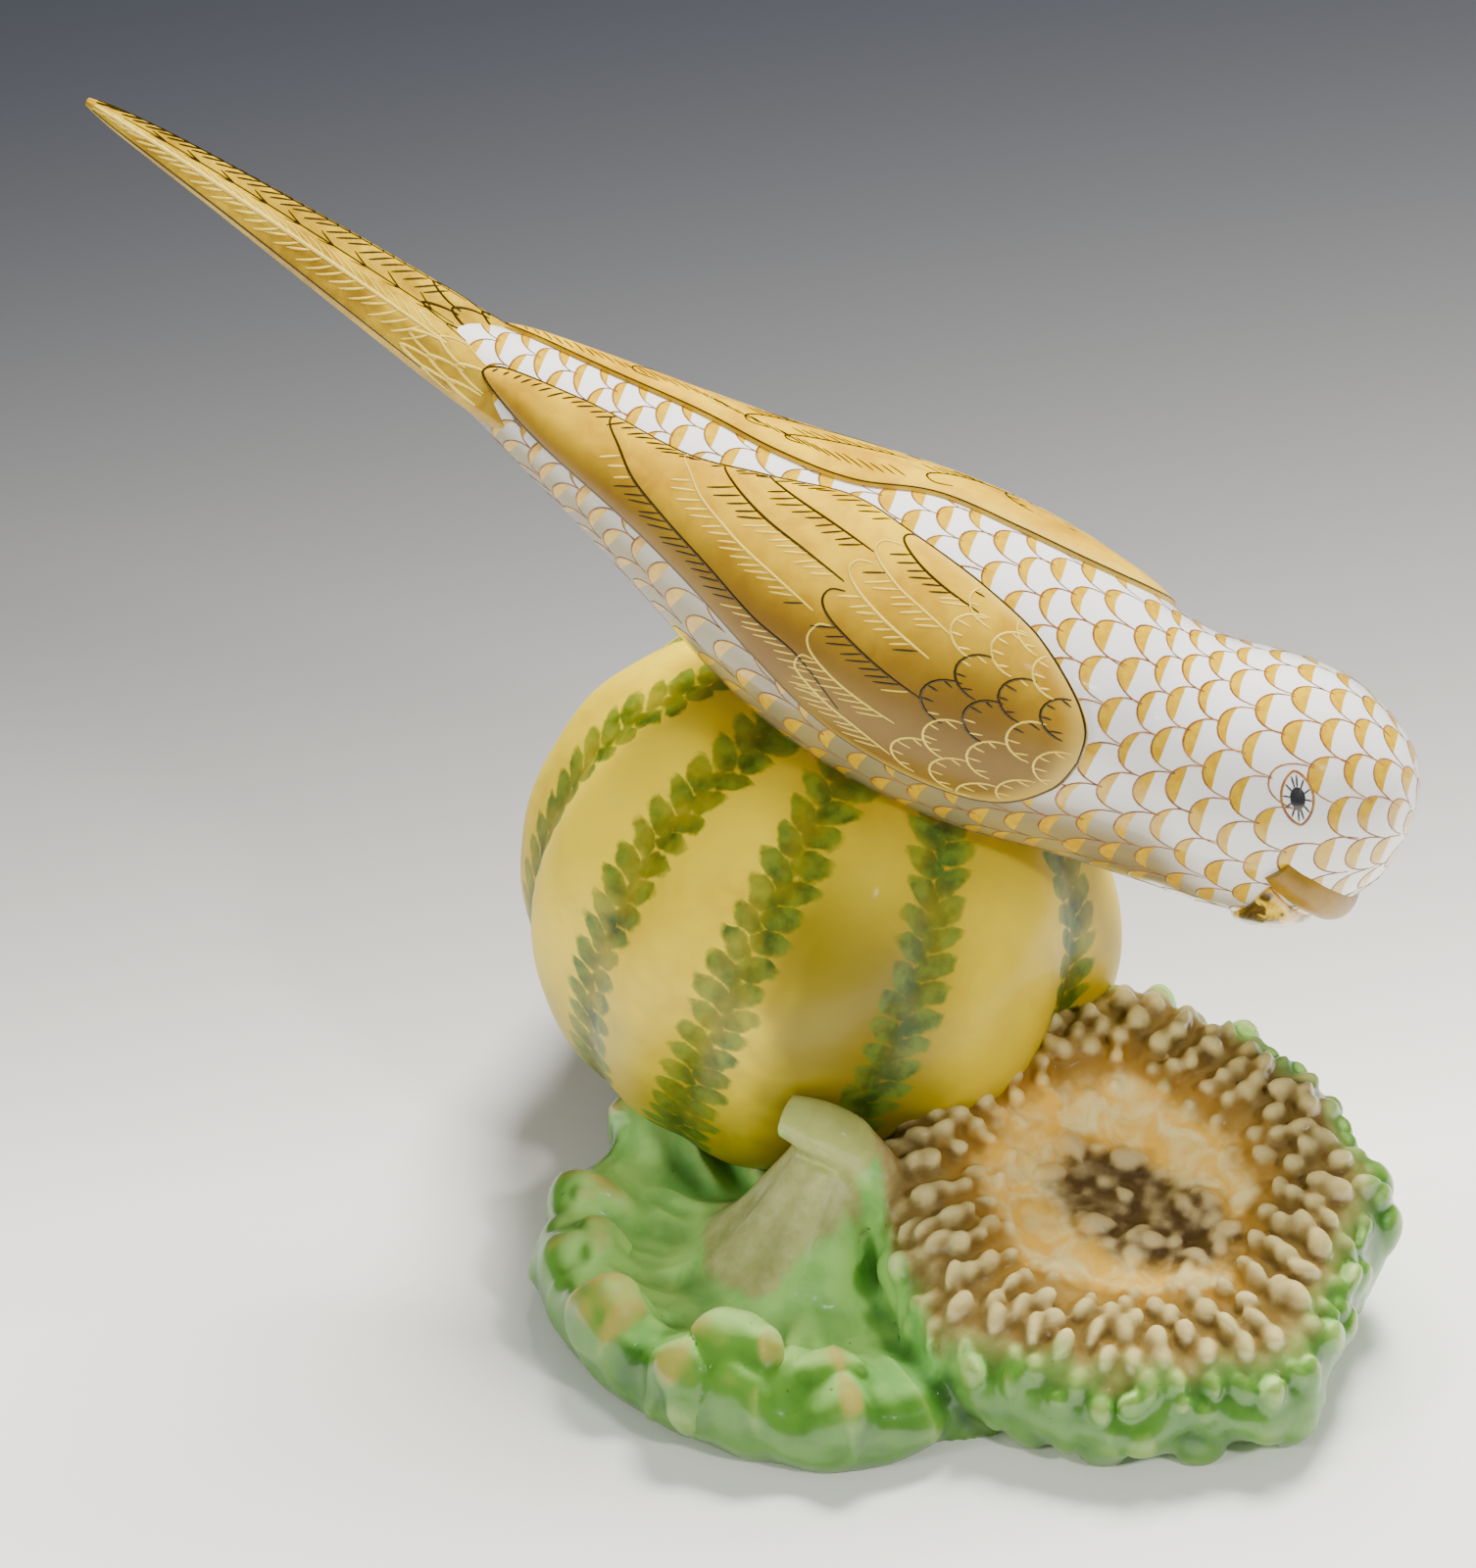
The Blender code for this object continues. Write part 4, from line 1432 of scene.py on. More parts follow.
def up_reach(share, turn):
    """The seed head's lobed radius at a share and a turn."""
    lobes = 0.030 * np.sin(5 * turn + 0.5) + 0.022 * np.sin(8 * turn + 2.2)
    lobes = lobes + 0.016 * np.sin(13 * turn + 1.0)
    wrapped = np.mod(turn + math.pi, 2 * math.pi) - math.pi
    lobes = lobes + 0.045 * np.exp(-(((wrapped + 0.80) / 0.28) ** 2)) - 0.02
    return UP_RADIUS * share * (1.0 + lobes * np.clip(share / 0.8, 0.0, 1.0) ** 2)


def height_at(table, where):
    """A smooth height from a table of (position, height)."""
    table = np.asarray(table)
    rows = np.interp(where, table[:, 0], np.arange(len(table)))
    return spline(table, rows)[..., 1]


def up_surface(share, turn):
    """The seed head's face at a share of its radius, before its seeds."""
    reach = up_reach(share, turn)
    across = reach * np.cos(turn)
    depth = reach * np.sin(turn)
    high = height_at(UP_PROFILE, share)
    return up_frame(across, depth, UP_HEIGHT + UP_FALL * depth + high)


def seed_head_core():
    """The head turned up: its dished face and its leaning wall."""

    def place(share, turn):
        face_share = np.clip(share / 0.72, 0.0, 1.0)
        on_face = share <= 0.72
        wall_at = np.clip((share - 0.72) / 0.22, 0.0, 1.0) * (len(UP_WALL) - 1)
        row = spline(UP_WALL, wall_at)
        under = np.clip((share - 0.94) / 0.06, 0.0, 1.0)
        ratio = np.where(on_face, face_share, row[..., 0] * (1 - under))
        face = up_surface(face_share, turn)
        face[..., 2] -= SEED_BED * np.exp(-(((face_share - 0.72) / 0.2) ** 4))
        reach = up_reach(np.maximum(ratio, 1e-4), turn)
        edge_depth = up_reach(np.ones_like(ratio), turn) * np.sin(turn)
        edge = UP_HEIGHT + UP_FALL * edge_depth + UP_PROFILE[-1][1]
        wall = up_frame(reach * np.cos(turn), reach * np.sin(turn), edge * np.clip(row[..., 1], 0, 1))
        points = np.where(on_face[..., None], face, wall)
        points[..., 2] = np.maximum(points[..., 2], 0.0)
        return points

    return closed_grid("seed_head", place, *SEED_HEAD_GRID)


def wall_pebbles():
    """Pebbly knobs round the seed head's rim and down its wall."""
    rng = np.random.default_rng(5)
    pieces = []
    for share, drop, count, size in PEBBLE_ROWS:
        for number in range(count):
            turn = 2 * math.pi * (number + rng.uniform(-0.25, 0.25)) / count
            spot = up_surface(np.array(share), np.array(turn))
            spot[2] = max(spot[2] - drop + rng.uniform(-0.8, 0.8), 2.0)
            scale = size * rng.uniform(0.75, 1.25)
            radii = (
                scale * rng.uniform(0.6, 0.85),
                scale * rng.uniform(0.8, 1.1),
                scale * rng.uniform(1.0, 1.5),
            )
            pieces.append(blob(spot, radii, turn + math.radians(UP_TURN), rng.uniform(-0.5, 0.2)))
    return pieces


def heart_lumps():
    """The crumbled middle of the seed head, split by a fissure."""
    rng = np.random.default_rng(9)
    pieces = []
    for number in range(HEART_LUMPS):
        side = 1 if number % 2 else -1
        along = rng.uniform(-0.95, 0.95) * HEART_HALF[0]
        across = side * rng.uniform(1.6, HEART_HALF[1]) * (1 - (along / HEART_HALF[0]) ** 2 * 0.6)
        x = HEART_CENTRE[0] + along * math.cos(HEART_TURN) - across * math.sin(HEART_TURN)
        y = HEART_CENTRE[1] + along * math.sin(HEART_TURN) + across * math.cos(HEART_TURN)
        share = np.hypot(x, y) / UP_RADIUS
        spot = up_surface(np.array(share), np.array(math.atan2(y, x)))
        size = rng.uniform(1.8, 3.3)
        radii = (size * 1.2, size * 0.8, size * 0.75)
        pieces.append(blob(spot, radii, rng.uniform(0, 3.1)))
    return pieces


def seed_tree():
    """Geometry Nodes: a seed on every point, turned and sized by the point's own values."""
    tree, start = new_tree("seeds", {"Seed": "Object"})
    new = tree.nodes.new
    link = tree.links.new
    shape = new("GeometryNodeObjectInfo")
    link(start.outputs["Seed"], shape.inputs["Object"])
    turn = point_value(tree, "turn", "FLOAT_VECTOR")
    size = point_value(tree, "size", "FLOAT_VECTOR")
    copies = new("GeometryNodeInstanceOnPoints")
    rotate = new("FunctionNodeEulerToRotation")
    link(start.outputs["Geometry"], copies.inputs["Points"])
    link(shape.outputs["Geometry"], copies.inputs["Instance"])
    link(turn.outputs["Attribute"], rotate.inputs[0])
    link(rotate.outputs[0], copies.inputs["Rotation"])
    link(size.outputs["Attribute"], copies.inputs["Scale"])
    return end_tree(tree, start, copies.outputs["Instances"])


def seed_shape():
    """One plump seed, narrower at its outer end, one millimetre across each half."""
    rows = 9
    columns = 14
    share = np.linspace(0, 1, rows + 2)[1:-1]
    turn = np.arange(columns) * 2 * math.pi / columns
    shares, turns = np.meshgrid(share, turn, indexing="ij")
    along = -np.cos(shares * math.pi)
    reach = np.sin(shares * math.pi) ** 1.15 * (1.08 - 0.30 * along)
    points = np.stack([along, reach * np.cos(turns), reach * np.sin(turns)], -1).reshape(-1, 3)
    points = np.concatenate([points, [[-1, 0, 0], [1, 0, 0]]])
    mesh = bpy.data.meshes.new("seed_shape")
    mesh.from_pydata(points.tolist(), [], grid_faces(rows, columns, True))
    piece = add_object("seed_shape", mesh)
    return keep_out(piece)


def seed_rows(tree, material):
    """Rings of seeds from the orange middle to the rim, larger outwards."""
    rng = np.random.default_rng(7)
    points = []
    turns = []
    sizes = []
    for ring, (share, count) in enumerate(SEED_RINGS):
        for number in range(count):
            if rng.uniform() < SEED_GAPS[ring]:
                continue
            bearing = 2 * math.pi * (number + 0.5 * (ring % 2) + rng.uniform(-0.25, 0.25)) / count
            reach = share + rng.uniform(-0.018, 0.018)
            spot = up_surface(np.array(reach), np.array(bearing))
            spot[2] -= SEED_BED * 0.62 + rng.uniform(-0.45, 0.35)
            grow = 0.82 + 0.38 * (reach - 0.5) / 0.45
            long = rng.uniform(1.6, 2.3) * grow
            wide = rng.uniform(1.2, 1.9) * grow
            tall = rng.uniform(1.9, 2.9) * grow
            points.append(spot)
            lean = bearing + math.radians(UP_TURN) + rng.uniform(-0.35, 0.35)
            turns.append((rng.uniform(-0.4, 0.4), rng.uniform(-0.9, -0.2), lean))
            sizes.append((long, wide, tall))
    mesh = bpy.data.meshes.new("seed_points")
    mesh.from_pydata((np.array(points) * MM).tolist(), [], [])
    turn = mesh.attributes.new("turn", "FLOAT_VECTOR", "POINT")
    turn.data.foreach_set("vector", np.array(turns, np.float32).ravel())
    size = mesh.attributes.new("size", "FLOAT_VECTOR", "POINT")
    size.data.foreach_set("vector", (np.array(sizes) * MM).astype(np.float32).ravel())
    source = add_object("seed_points", mesh)
    shape = seed_shape()
    piece = run_tree("seeds", source, tree, {"Seed": shape, "Material": material})
    bpy.data.objects.remove(shape, do_unlink=True)
    return piece


def web_core():
    """The clay that joins the two heads at their feet."""

    def place(share, turn):
        level = np.sin(share * math.pi) ** 0.6
        x = SLAB_CENTRE[0] + SLAB_HALF[0] * level * np.cos(turn)
        y = SLAB_CENTRE[1] + SLAB_HALF[1] * level * np.sin(turn)
        z = np.maximum(np.cos(share * math.pi), 0.0) * SLAB_TOP
        return np.stack([x, y, z], -1)

    return closed_grid("web", place, *WEB_GRID)


class Skin:
    """One voxel skin over several closed pieces, held as arrays for smoothing and relief."""

    def __init__(self, name, parts, voxel):
        work = bmesh.new()
        for part in parts:
            work.from_mesh(part.data)
            bpy.data.objects.remove(part, do_unlink=True)
        mesh = bpy.data.meshes.new(name + "_parts")
        work.to_mesh(mesh)
        work.free()
        source = add_object(name + "_parts", mesh)
        modifier = source.modifiers.new("skin", "REMESH")
        modifier.mode = "VOXEL"
        modifier.voxel_size = voxel * MM
        graph = bpy.context.evaluated_depsgraph_get()
        self.mesh = bpy.data.meshes.new_from_object(source.evaluated_get(graph))
        self.mesh.name = name
        bpy.data.objects.remove(source, do_unlink=True)
        self.count = len(self.mesh.vertices)
        flat = np.empty(self.count * 3)
        self.mesh.vertices.foreach_get("co", flat)
        self.points = flat.reshape(-1, 3) / MM
        edges = np.empty(len(self.mesh.edges) * 2, np.int64)
        self.mesh.edges.foreach_get("vertices", edges)
        self.edges = edges.reshape(-1, 2).T
        self.degree = np.maximum(np.bincount(edges, minlength=self.count), 1)

    def blur(self, values, rounds):
        """Each row averaged with its neighbours' rows, as many rounds as asked."""
        values = values.copy()
        one, two = self.edges
        for _ in range(rounds):
            for column in range(values.shape[1]):
                row = values[:, column]
                total = np.bincount(one, row[two], self.count) + np.bincount(two, row[one], self.count)
                values[:, column] = total / self.degree
        return values

    def normals(self):
        """Outward directions of the points as they stand now."""
        self.mesh.vertices.foreach_set("co", (self.points * MM).ravel())
        self.mesh.update()
        flat = np.empty(self.count * 3, np.float32)
        self.mesh.vertex_normals.foreach_get("vector", flat)
        return flat.reshape(-1, 3).astype(float)

    def fill_creases(self, rounds, share):
        """Lets glaze pool where pieces meet: hollow edges are filled and crests are kept."""
        normal = self.normals()
        out = np.sum((self.blur(self.points, rounds) - self.points) * normal, 1)
        self.points += normal * (np.maximum(out, 0.0) * share)[:, None]

    def relief(self, amount):
        """Moves each point out by its own amount."""
        self.points += self.normals() * amount[:, None]

    def proud(self, rounds):
        """How far each point stands out from its surroundings."""
        return np.sum((self.points - self.blur(self.points, rounds)) * self.normals(), 1)

    def finish(self, name, material, marks):
        """The skin as a piece, flat on the floor, with its marks for the glaze."""
        self.points[:, 2] = np.maximum(self.points[:, 2], 0.0)
        self.normals()
        for label, values in marks.items():
            attribute = self.mesh.attributes.new(label, "FLOAT", "POINT")
            attribute.data.foreach_set("value", values.astype(np.float32))
        self.mesh.materials.clear()
        self.mesh.materials.append(material)
        self.mesh.polygons.foreach_set("use_smooth", [True] * len(self.mesh.polygons))
        self.mesh.update()
        piece = add_object(name, self.mesh)
        return piece


def soft_step(values, low, high):
    """Eases from 0 at low to 1 at high."""
    share = np.clip((values - low) / (high - low), 0.0, 1.0)
    return share * share * (3 - 2 * share)


def radial_folds(points):
    """Folds that run in and out from the middle of each head and down its wall."""
    total = np.zeros(len(points))
    gaps = [np.hypot(points[:, 0] - c[0], points[:, 1] - c[1]) for c in (DOWN_CENTRE, UP_CENTRE)]
    near_down = soft_step(gaps[1] - gaps[0], -4.0, 4.0)
    shares = (near_down * soft_step(gaps[0], 15.0, 24.0), (1 - near_down) * soft_step(gaps[1], 33.0, 39.0))
    for number, (centre, weight) in enumerate(zip((DOWN_CENTRE, UP_CENTRE), shares)):
        turn = np.arctan2(points[:, 1] - centre[1], points[:, 0] - centre[0])
        drift = 0.22 * (gaps[number] + points[:, 2])
        spots = np.stack([np.cos(turn) * FOLD_RING + drift, np.sin(turn) * FOLD_RING, drift], -1)
        fold = 1 - 2.4 * np.abs(lattice_noise(spots, 7.0, 31 + number))
        fold = fold * 1.1 + 0.9 * lattice_noise(spots, 4.2, 33 + number)
        total += weight * fold
    return total


def outer_wall(skin, down_far, up_share):
    """How much each point lies on the outer wall of either head, from 0 to 1."""
    normals = skin.normals()
    away = []
    for centre in (DOWN_CENTRE, UP_CENTRE):
        ray = skin.points[:, :2] - np.array(centre[:2])
        gap = np.linalg.norm(ray, axis=1) + 1e-6
        away.append((gap, np.sum(normals[:, :2] * ray, axis=1) / gap))
    near_down = soft_step(away[1][0] - away[0][0], -4.0, 4.0)
    down = soft_step(away[0][1], 0.0, 0.5) * soft_step(down_far, 0.55, 0.7)
    up = soft_step(away[1][1], 0.0, 0.5) * soft_step(up_share, 0.8, 1.0)
    return near_down * down + (1 - near_down) * up


def heads_piece(material):
    """Both halves of the open head, their stalk and the clay between, as one glazed skin."""
    parts = [calyx_core(), foot_core(), web_core(), seed_head_core()]
    parts.append(bar("stalk", STALK, STALK_GRID))
    parts += calyx_lumps() + wall_pebbles() + heart_lumps()
    parts.append(seed_rows(seed_tree(), material))
    skin = Skin("open_head", parts, HEADS_VOXEL)
    skin.points = skin.points * (1 - SKIN_EASE) + skin.blur(skin.points, 1) * SKIN_EASE
    across, depth = up_local(skin.points)
    turn = np.arctan2(depth, across)
    share = np.hypot(across, depth) / up_reach(np.ones_like(turn), turn)
    face_high = UP_HEIGHT + UP_FALL * depth - 7.0
    on_face = soft_step(skin.points[:, 2], face_high - 3.0, face_high) * (1 - soft_step(share, 0.98, 1.04))
    seeds = on_face * soft_step(share, 0.40, 0.5)
    for rounds, fill, spared in CREASE_FILLS:
        skin.fill_creases(rounds, fill * (1 - spared * seeds))
    free = soft_step(skin.points[:, 2], 1.0, 6.0) * (1 - 0.85 * seeds)
    swell = lattice_noise(skin.points, 8.5, 1) * 0.9 + lattice_noise(skin.points, 3.8, 2) * 0.3
    ring = on_face * (1 - soft_step(share, 0.40, 0.55))
    crumbs = lattice_noise(skin.points, 3.2, 6) * 0.5 + lattice_noise(skin.points, 1.9, 7) * 0.35
    skin.relief(free * (1 - ring) * (swell * 0.7 + radial_folds(skin.points) * 1.1) + ring * crumbs)
    return skin.finish("open_head", material, heads_marks(skin, across, depth, on_face))


def heads_marks(skin, across, depth, on_face):
    """What the glaze reads at each point of the heads: relief, regions and places."""
    proud = skin.proud(PROUD_ROUNDS)
    fine = skin.proud(FINE_ROUNDS)
    turn = np.arctan2(depth, across)
    share = np.hypot(across, depth) / up_reach(np.ones_like(turn), turn)
    x, y, z = skin.points.T
    up = skin.normals()[:, 2]
    heart_x = across - HEART_CENTRE[0]
    heart_y = depth - HEART_CENTRE[1]
    long = heart_x * math.cos(HEART_TURN) + heart_y * math.sin(HEART_TURN)
    short = -heart_x * math.sin(HEART_TURN) + heart_y * math.cos(HEART_TURN)
    heart = on_face * np.clip(1.4 - np.hypot(long / HEART_HALF[0], short / HEART_HALF[1]) * 0.9, 0, 1)
    rim_far = np.hypot(x - DOWN_CENTRE[0], y - DOWN_CENTRE[1]) / DOWN_RADIUS
    rim = soft_step(z, 11.0, 16.0) * soft_step(proud, 0.0, 1.2) * soft_step(rim_far, 0.62, 0.78)
    rim = rim * (1 - soft_step(x, 2.0, 10.0))
    along = np.clip((FOOT_TOP[2] - z) / (FOOT_TOP[2] - FOOT_BASE[2]), 0, 1)
    centre = np.array(FOOT_TOP) + (np.array(FOOT_BASE) - np.array(FOOT_TOP)) * along[:, None]
    gap = np.hypot(x - centre[:, 0], y - centre[:, 1]) / foot_reach(along)
    foot = (1 - soft_step(gap, 1.05, 1.45)) * soft_step(z, 9.0, 14.0) * (1 - soft_step(x - y, 6.0, 13.0))
    spots = spline(STALK, np.linspace(0, 2.1, 30))
    away = np.linalg.norm(skin.points[:, None, :] - spots[None, :, :3], axis=2) / spots[None, :, 3]
    cut = (1 - soft_step(away.min(1), 1.12, 1.35)) * soft_step(up, -0.1, 0.25)
    return {
        "proud": proud,
        "fine": fine,
        "share": share * (1 - RING_REACH * np.clip(np.cos(turn - RING_DRIFT), 0.0, 1.0)),
        "face": on_face,
        "heart": heart,
        "rim": rim,
        "wall": outer_wall(skin, rim_far, share),
        "foot": foot,
        "cut": cut,
    }


# Painting of the bird


def body_sizes():
    """Arc length at each fine step along the body, and each step's girth."""
    at = np.linspace(0.0, len(BODY) - 1, 1200)
    row = spline(BODY, at)
    run = summed(np.hypot(np.diff(row[:, 0]), np.diff(row[:, 1])))
    high, wide = row[:, 2:].T
    girth = math.pi * (3 * (high + wide) - np.sqrt((3 * high + wide) * (high + 3 * wide)))
    return at, run, girth


def eye_share(along, aside):
    """Distance from the eye's middle as a share of its outline, from offsets in mm."""
    tilt = math.radians(EYE_TURN)
    long = along * math.cos(tilt) + aside * math.sin(tilt)
    wide = aside * math.cos(tilt) - along * math.sin(tilt)
    return math.hypot(long / EYE_HALF[0], wide / EYE_HALF[1])


def scale_coat(lines, dabs):
    """Rows of rounded feather scales over the body, tips towards the tail."""
    at, run, girth = body_sizes()
    rng = np.random.default_rng(3)
    eye_run = np.interp(EYE[0], at, run)
    position = run[-1] - 2.0
    row_number = 0
    while position > np.interp(1.0, at, run):
        girth_mm = np.interp(position, run, girth)
        count = max(4, int(round(girth_mm / SCALE_WIDTH)))
        width = girth_mm / count
        for column in range(count):
            middle = (column + 0.5 * (row_number % 2)) / count * 2 * math.pi
            middle += rng.uniform(-0.04, 0.04) * width / girth_mm * 2 * math.pi
            tip = position + rng.uniform(-0.25, 0.25)
            signed = (middle + math.pi) % (2 * math.pi) - math.pi
            aside = (abs(signed) - math.radians(EYE[1])) * girth_mm / (2 * math.pi)
            if eye_share(tip + 1.6 - eye_run, aside) < EYE_CLEAR[0]:
                continue
            washed = eye_share(tip + 0.9 - eye_run, aside) > EYE_CLEAR[1]
            add_scale(lines, dabs if washed else None, at, run, tip, middle, width, girth_mm, rng)
        position -= scale_pitch(girth_mm)
        row_number += 1


def scale_pitch(girth_mm):
    """The spacing of the rows of scales where the body has this girth."""
    return SCALE_PITCH * np.clip(girth_mm / SCALE_EASE[0], SCALE_EASE[1], 1.0)


def scale_arc(tau, width, pitch):
    """A scale's rounded tip, offsets round the body and along it, for tau from -1 to 1."""
    aside = np.sign(tau) * np.sin(np.abs(tau) * math.pi / 2) ** 0.9 * width / 2
    return aside, pitch * 1.12 * (1 - np.cos(tau * math.pi / 2) ** 0.9)


def add_scale(lines, dabs, at, run, tip, middle, width, girth_mm, rng):
    """One scale: its tip's arc and a crescent of amber inside it."""
    turn_per_mm = 2 * math.pi / girth_mm
    pitch = scale_pitch(girth_mm)
    x, y = scale_arc(np.linspace(-1, 1, 15), width, pitch)

    def put(px, py, lift):
        s = np.interp(tip + np.asarray(py), run, at)
        return on_body(s, middle + np.asarray(px) * turn_per_mm, lift)

    points, normals = put(x, y, STROKE_LIFT)
    lines.add(points, normals, TAN_HALF * rng.uniform(0.85, 1.15))
    if dabs is None:
        return
    across = np.linspace(-DAB_REACH, DAB_REACH, DAB_COLUMNS)
    edge_x, edge_y = scale_arc(across, width, pitch)
    edge_y = edge_y + DAB_INSET
    depth = pitch * DAB_DEPTH * (1 - (across / DAB_REACH) ** 2) * rng.uniform(0.8, 1.2)
    start = len(dabs["points"])
    for row in range(DAB_ROWS):
        share = row / (DAB_ROWS - 1)
        points, _ = put(edge_x * (1 - 0.06 * share), edge_y + depth * share, STROKE_LIFT * 0.6)
        dabs["points"].extend(points)
    for row in range(DAB_ROWS - 1):
        for column in range(DAB_COLUMNS - 1):
            low = start + row * DAB_COLUMNS + column
            high = low + DAB_COLUMNS
            dabs["faces"].append((low, low + 1, high + 1, high))


def almond(turn):
    """The short offset of an almond's outline at a turn, as a share of its half width."""
    return np.sin(turn) * (0.55 + 0.45 * np.abs(np.sin(turn)))


def eye_painting(lines, fills, side):
    """A black oval pupil with short rays inside an almond line, side 1 near and -1 far."""
    at, run, girth = body_sizes()
    girth_mm = np.interp(EYE[0], at, girth)
    here = np.interp(EYE[0], at, run)
    tilt = math.radians(EYE_TURN)

    def put(u, v, lift):
        along = u * math.cos(tilt) - v * math.sin(tilt)
        across = u * math.sin(tilt) + v * math.cos(tilt)
        s = np.interp(here + along, run, at)
        return on_body(s, side * (math.radians(EYE[1]) + across * 2 * math.pi / girth_mm), lift)

    turn = np.linspace(0, 2 * math.pi, 41)
    long, wide = EYE_HALF
    u = long * np.cos(turn)
    v = wide * almond(turn)
    points, normals = put(u, v, STROKE_LIFT)
    lines["tan"].add(points, normals, TAN_HALF * 1.3, taper=False)
    for ray in range(EYE_RAYS):
        angle = 2 * math.pi * (ray + 0.35) / EYE_RAYS
        r = np.linspace(0.42, 0.92, 5)
        ru = long * 0.95 * np.cos(angle) * r
        rv = wide * almond(angle) * r
        points, normals = put(ru, rv, STROKE_LIFT)
        lines["ink"].add(points, normals, INK_HALF * 0.75)
    sides = PUPIL_SIDES
    ring = np.linspace(0, 2 * math.pi, sides + 1)[:-1]
    pu = PUPIL_HALF[0] * np.cos(ring)
    pv = PUPIL_HALF[1] * np.sin(ring)
    rim, _ = put(pu, pv, STROKE_LIFT)
    centre, _ = put(np.zeros(1), np.zeros(1), STROKE_LIFT + 0.25)
    half, _ = put(pu * 0.6, pv * 0.6, STROKE_LIFT + 0.2)
    start = len(fills["points"])
    for points in (rim, half, centre):
        fills["points"].extend(points)
    for i in range(sides):
        j = (i + 1) % sides
        outer = (start + i, start + j, start + sides + j, start + sides + i)
        inner = (start + sides + i, start + sides + j, start + 2 * sides)
        fills["faces"].extend((outer[::side], inner[::side]))


def resample(rows, step):
    """Evenly spaced points along a smooth line through rows of (section, degrees)."""
    rows = np.array(rows, float)
    fine = spline(rows, np.linspace(0, len(rows) - 1, 160))
    ground, _ = on_body(fine[:, 0], np.radians(fine[:, 1]))
    run = summed(np.linalg.norm(np.diff(ground, axis=0), axis=1))
    count = max(3, int(round(run[-1] / step)) + 1)
    where = np.linspace(0, run[-1], count)
    return np.stack([np.interp(where, run, fine[:, 0]), np.interp(where, run, fine[:, 1])], -1)


def wing_strokes(wing, strokes, rng):
    """A wing's outline and its feathers."""
    edge = wing.edge(np.linspace(0, 2 * math.pi, 260))
    inner = np.array(WING_HUB) + (edge - np.array(WING_HUB)) * 0.985
    points, normals = wing.skin(inner[:, 0], inner[:, 1], STROKE_LIFT)
    strokes.add(points, normals, GOLD_HALF * 1.1, taper=False)
    barbs(wing, strokes, resample(WING_BROW, BARB_STEP), rng)
    for rows in FEATHERS:
        line = resample(rows, 0.6)
        points, normals = wing.skin(line[:, 0], line[:, 1], STROKE_LIFT)
        strokes.add(points, normals, GOLD_HALF)
        barbs(wing, strokes, resample(rows[3:], BARB_STEP), rng)
    coverts(wing, strokes, rng)


def barbs(wing, strokes, line, rng):
    """Short strokes below a feather's edge, all swept towards the tail."""
    for s, a in line[1:-1]:
        size = BARB_LENGTH * rng.uniform(0.75, 1.1)
        share = np.linspace(0.08, 1.0, 6)
        # Sections and degrees per millimetre along the sweep.
        per_s = -0.054 - 0.006 * (s - 4.0)
        per_a = 2.3 * math.exp((3.8 - s) / 4.0)
        s_run = s + share * size * per_s * rng.uniform(0.9, 1.1)
        a_run = a + share * size * per_a * rng.uniform(0.85, 1.15)
        inside = wing.reach(s_run, a_run) < 0.97
        if inside.sum() < 4:
            continue
        points, normals = wing.skin(s_run[inside], a_run[inside], STROKE_LIFT)
        strokes.add(points, normals, GOLD_HALF * 0.75)


def coverts(wing, strokes, rng):
    """Small rounded feathers over the shoulder, each an arc with short barbs."""
    for s, a in COVERTS:
        tau = np.linspace(-1, 1, 13)
        a_run = a + np.sin(tau * math.pi / 2) * 7.6
        s_run = s + (1 - np.cos(tau * math.pi / 2)) * 0.42
        keep = wing.reach(s_run, a_run) < 0.975
        if keep.sum() < 5:
            continue
        points, normals = wing.skin(s_run[keep], a_run[keep], STROKE_LIFT)
        strokes.add(points, normals, GOLD_HALF)
        for barb in range(4):
            lean = -0.6 + barb * 0.4
            start_a = a + math.sin(lean * math.pi / 2) * 7.6
            start_s = s + (1 - math.cos(lean * math.pi / 2)) * 0.42
            share = np.linspace(0.05, 1.0, 4)
            barb_s = start_s + share * 0.17 * rng.uniform(0.8, 1.2)
            barb_a = start_a - share * lean * 2.0
            if (wing.reach(barb_s, barb_a) < 0.97).all():
                points, normals = wing.skin(barb_s, barb_a, STROKE_LIFT)
                strokes.add(points, normals, GOLD_HALF * 0.75)


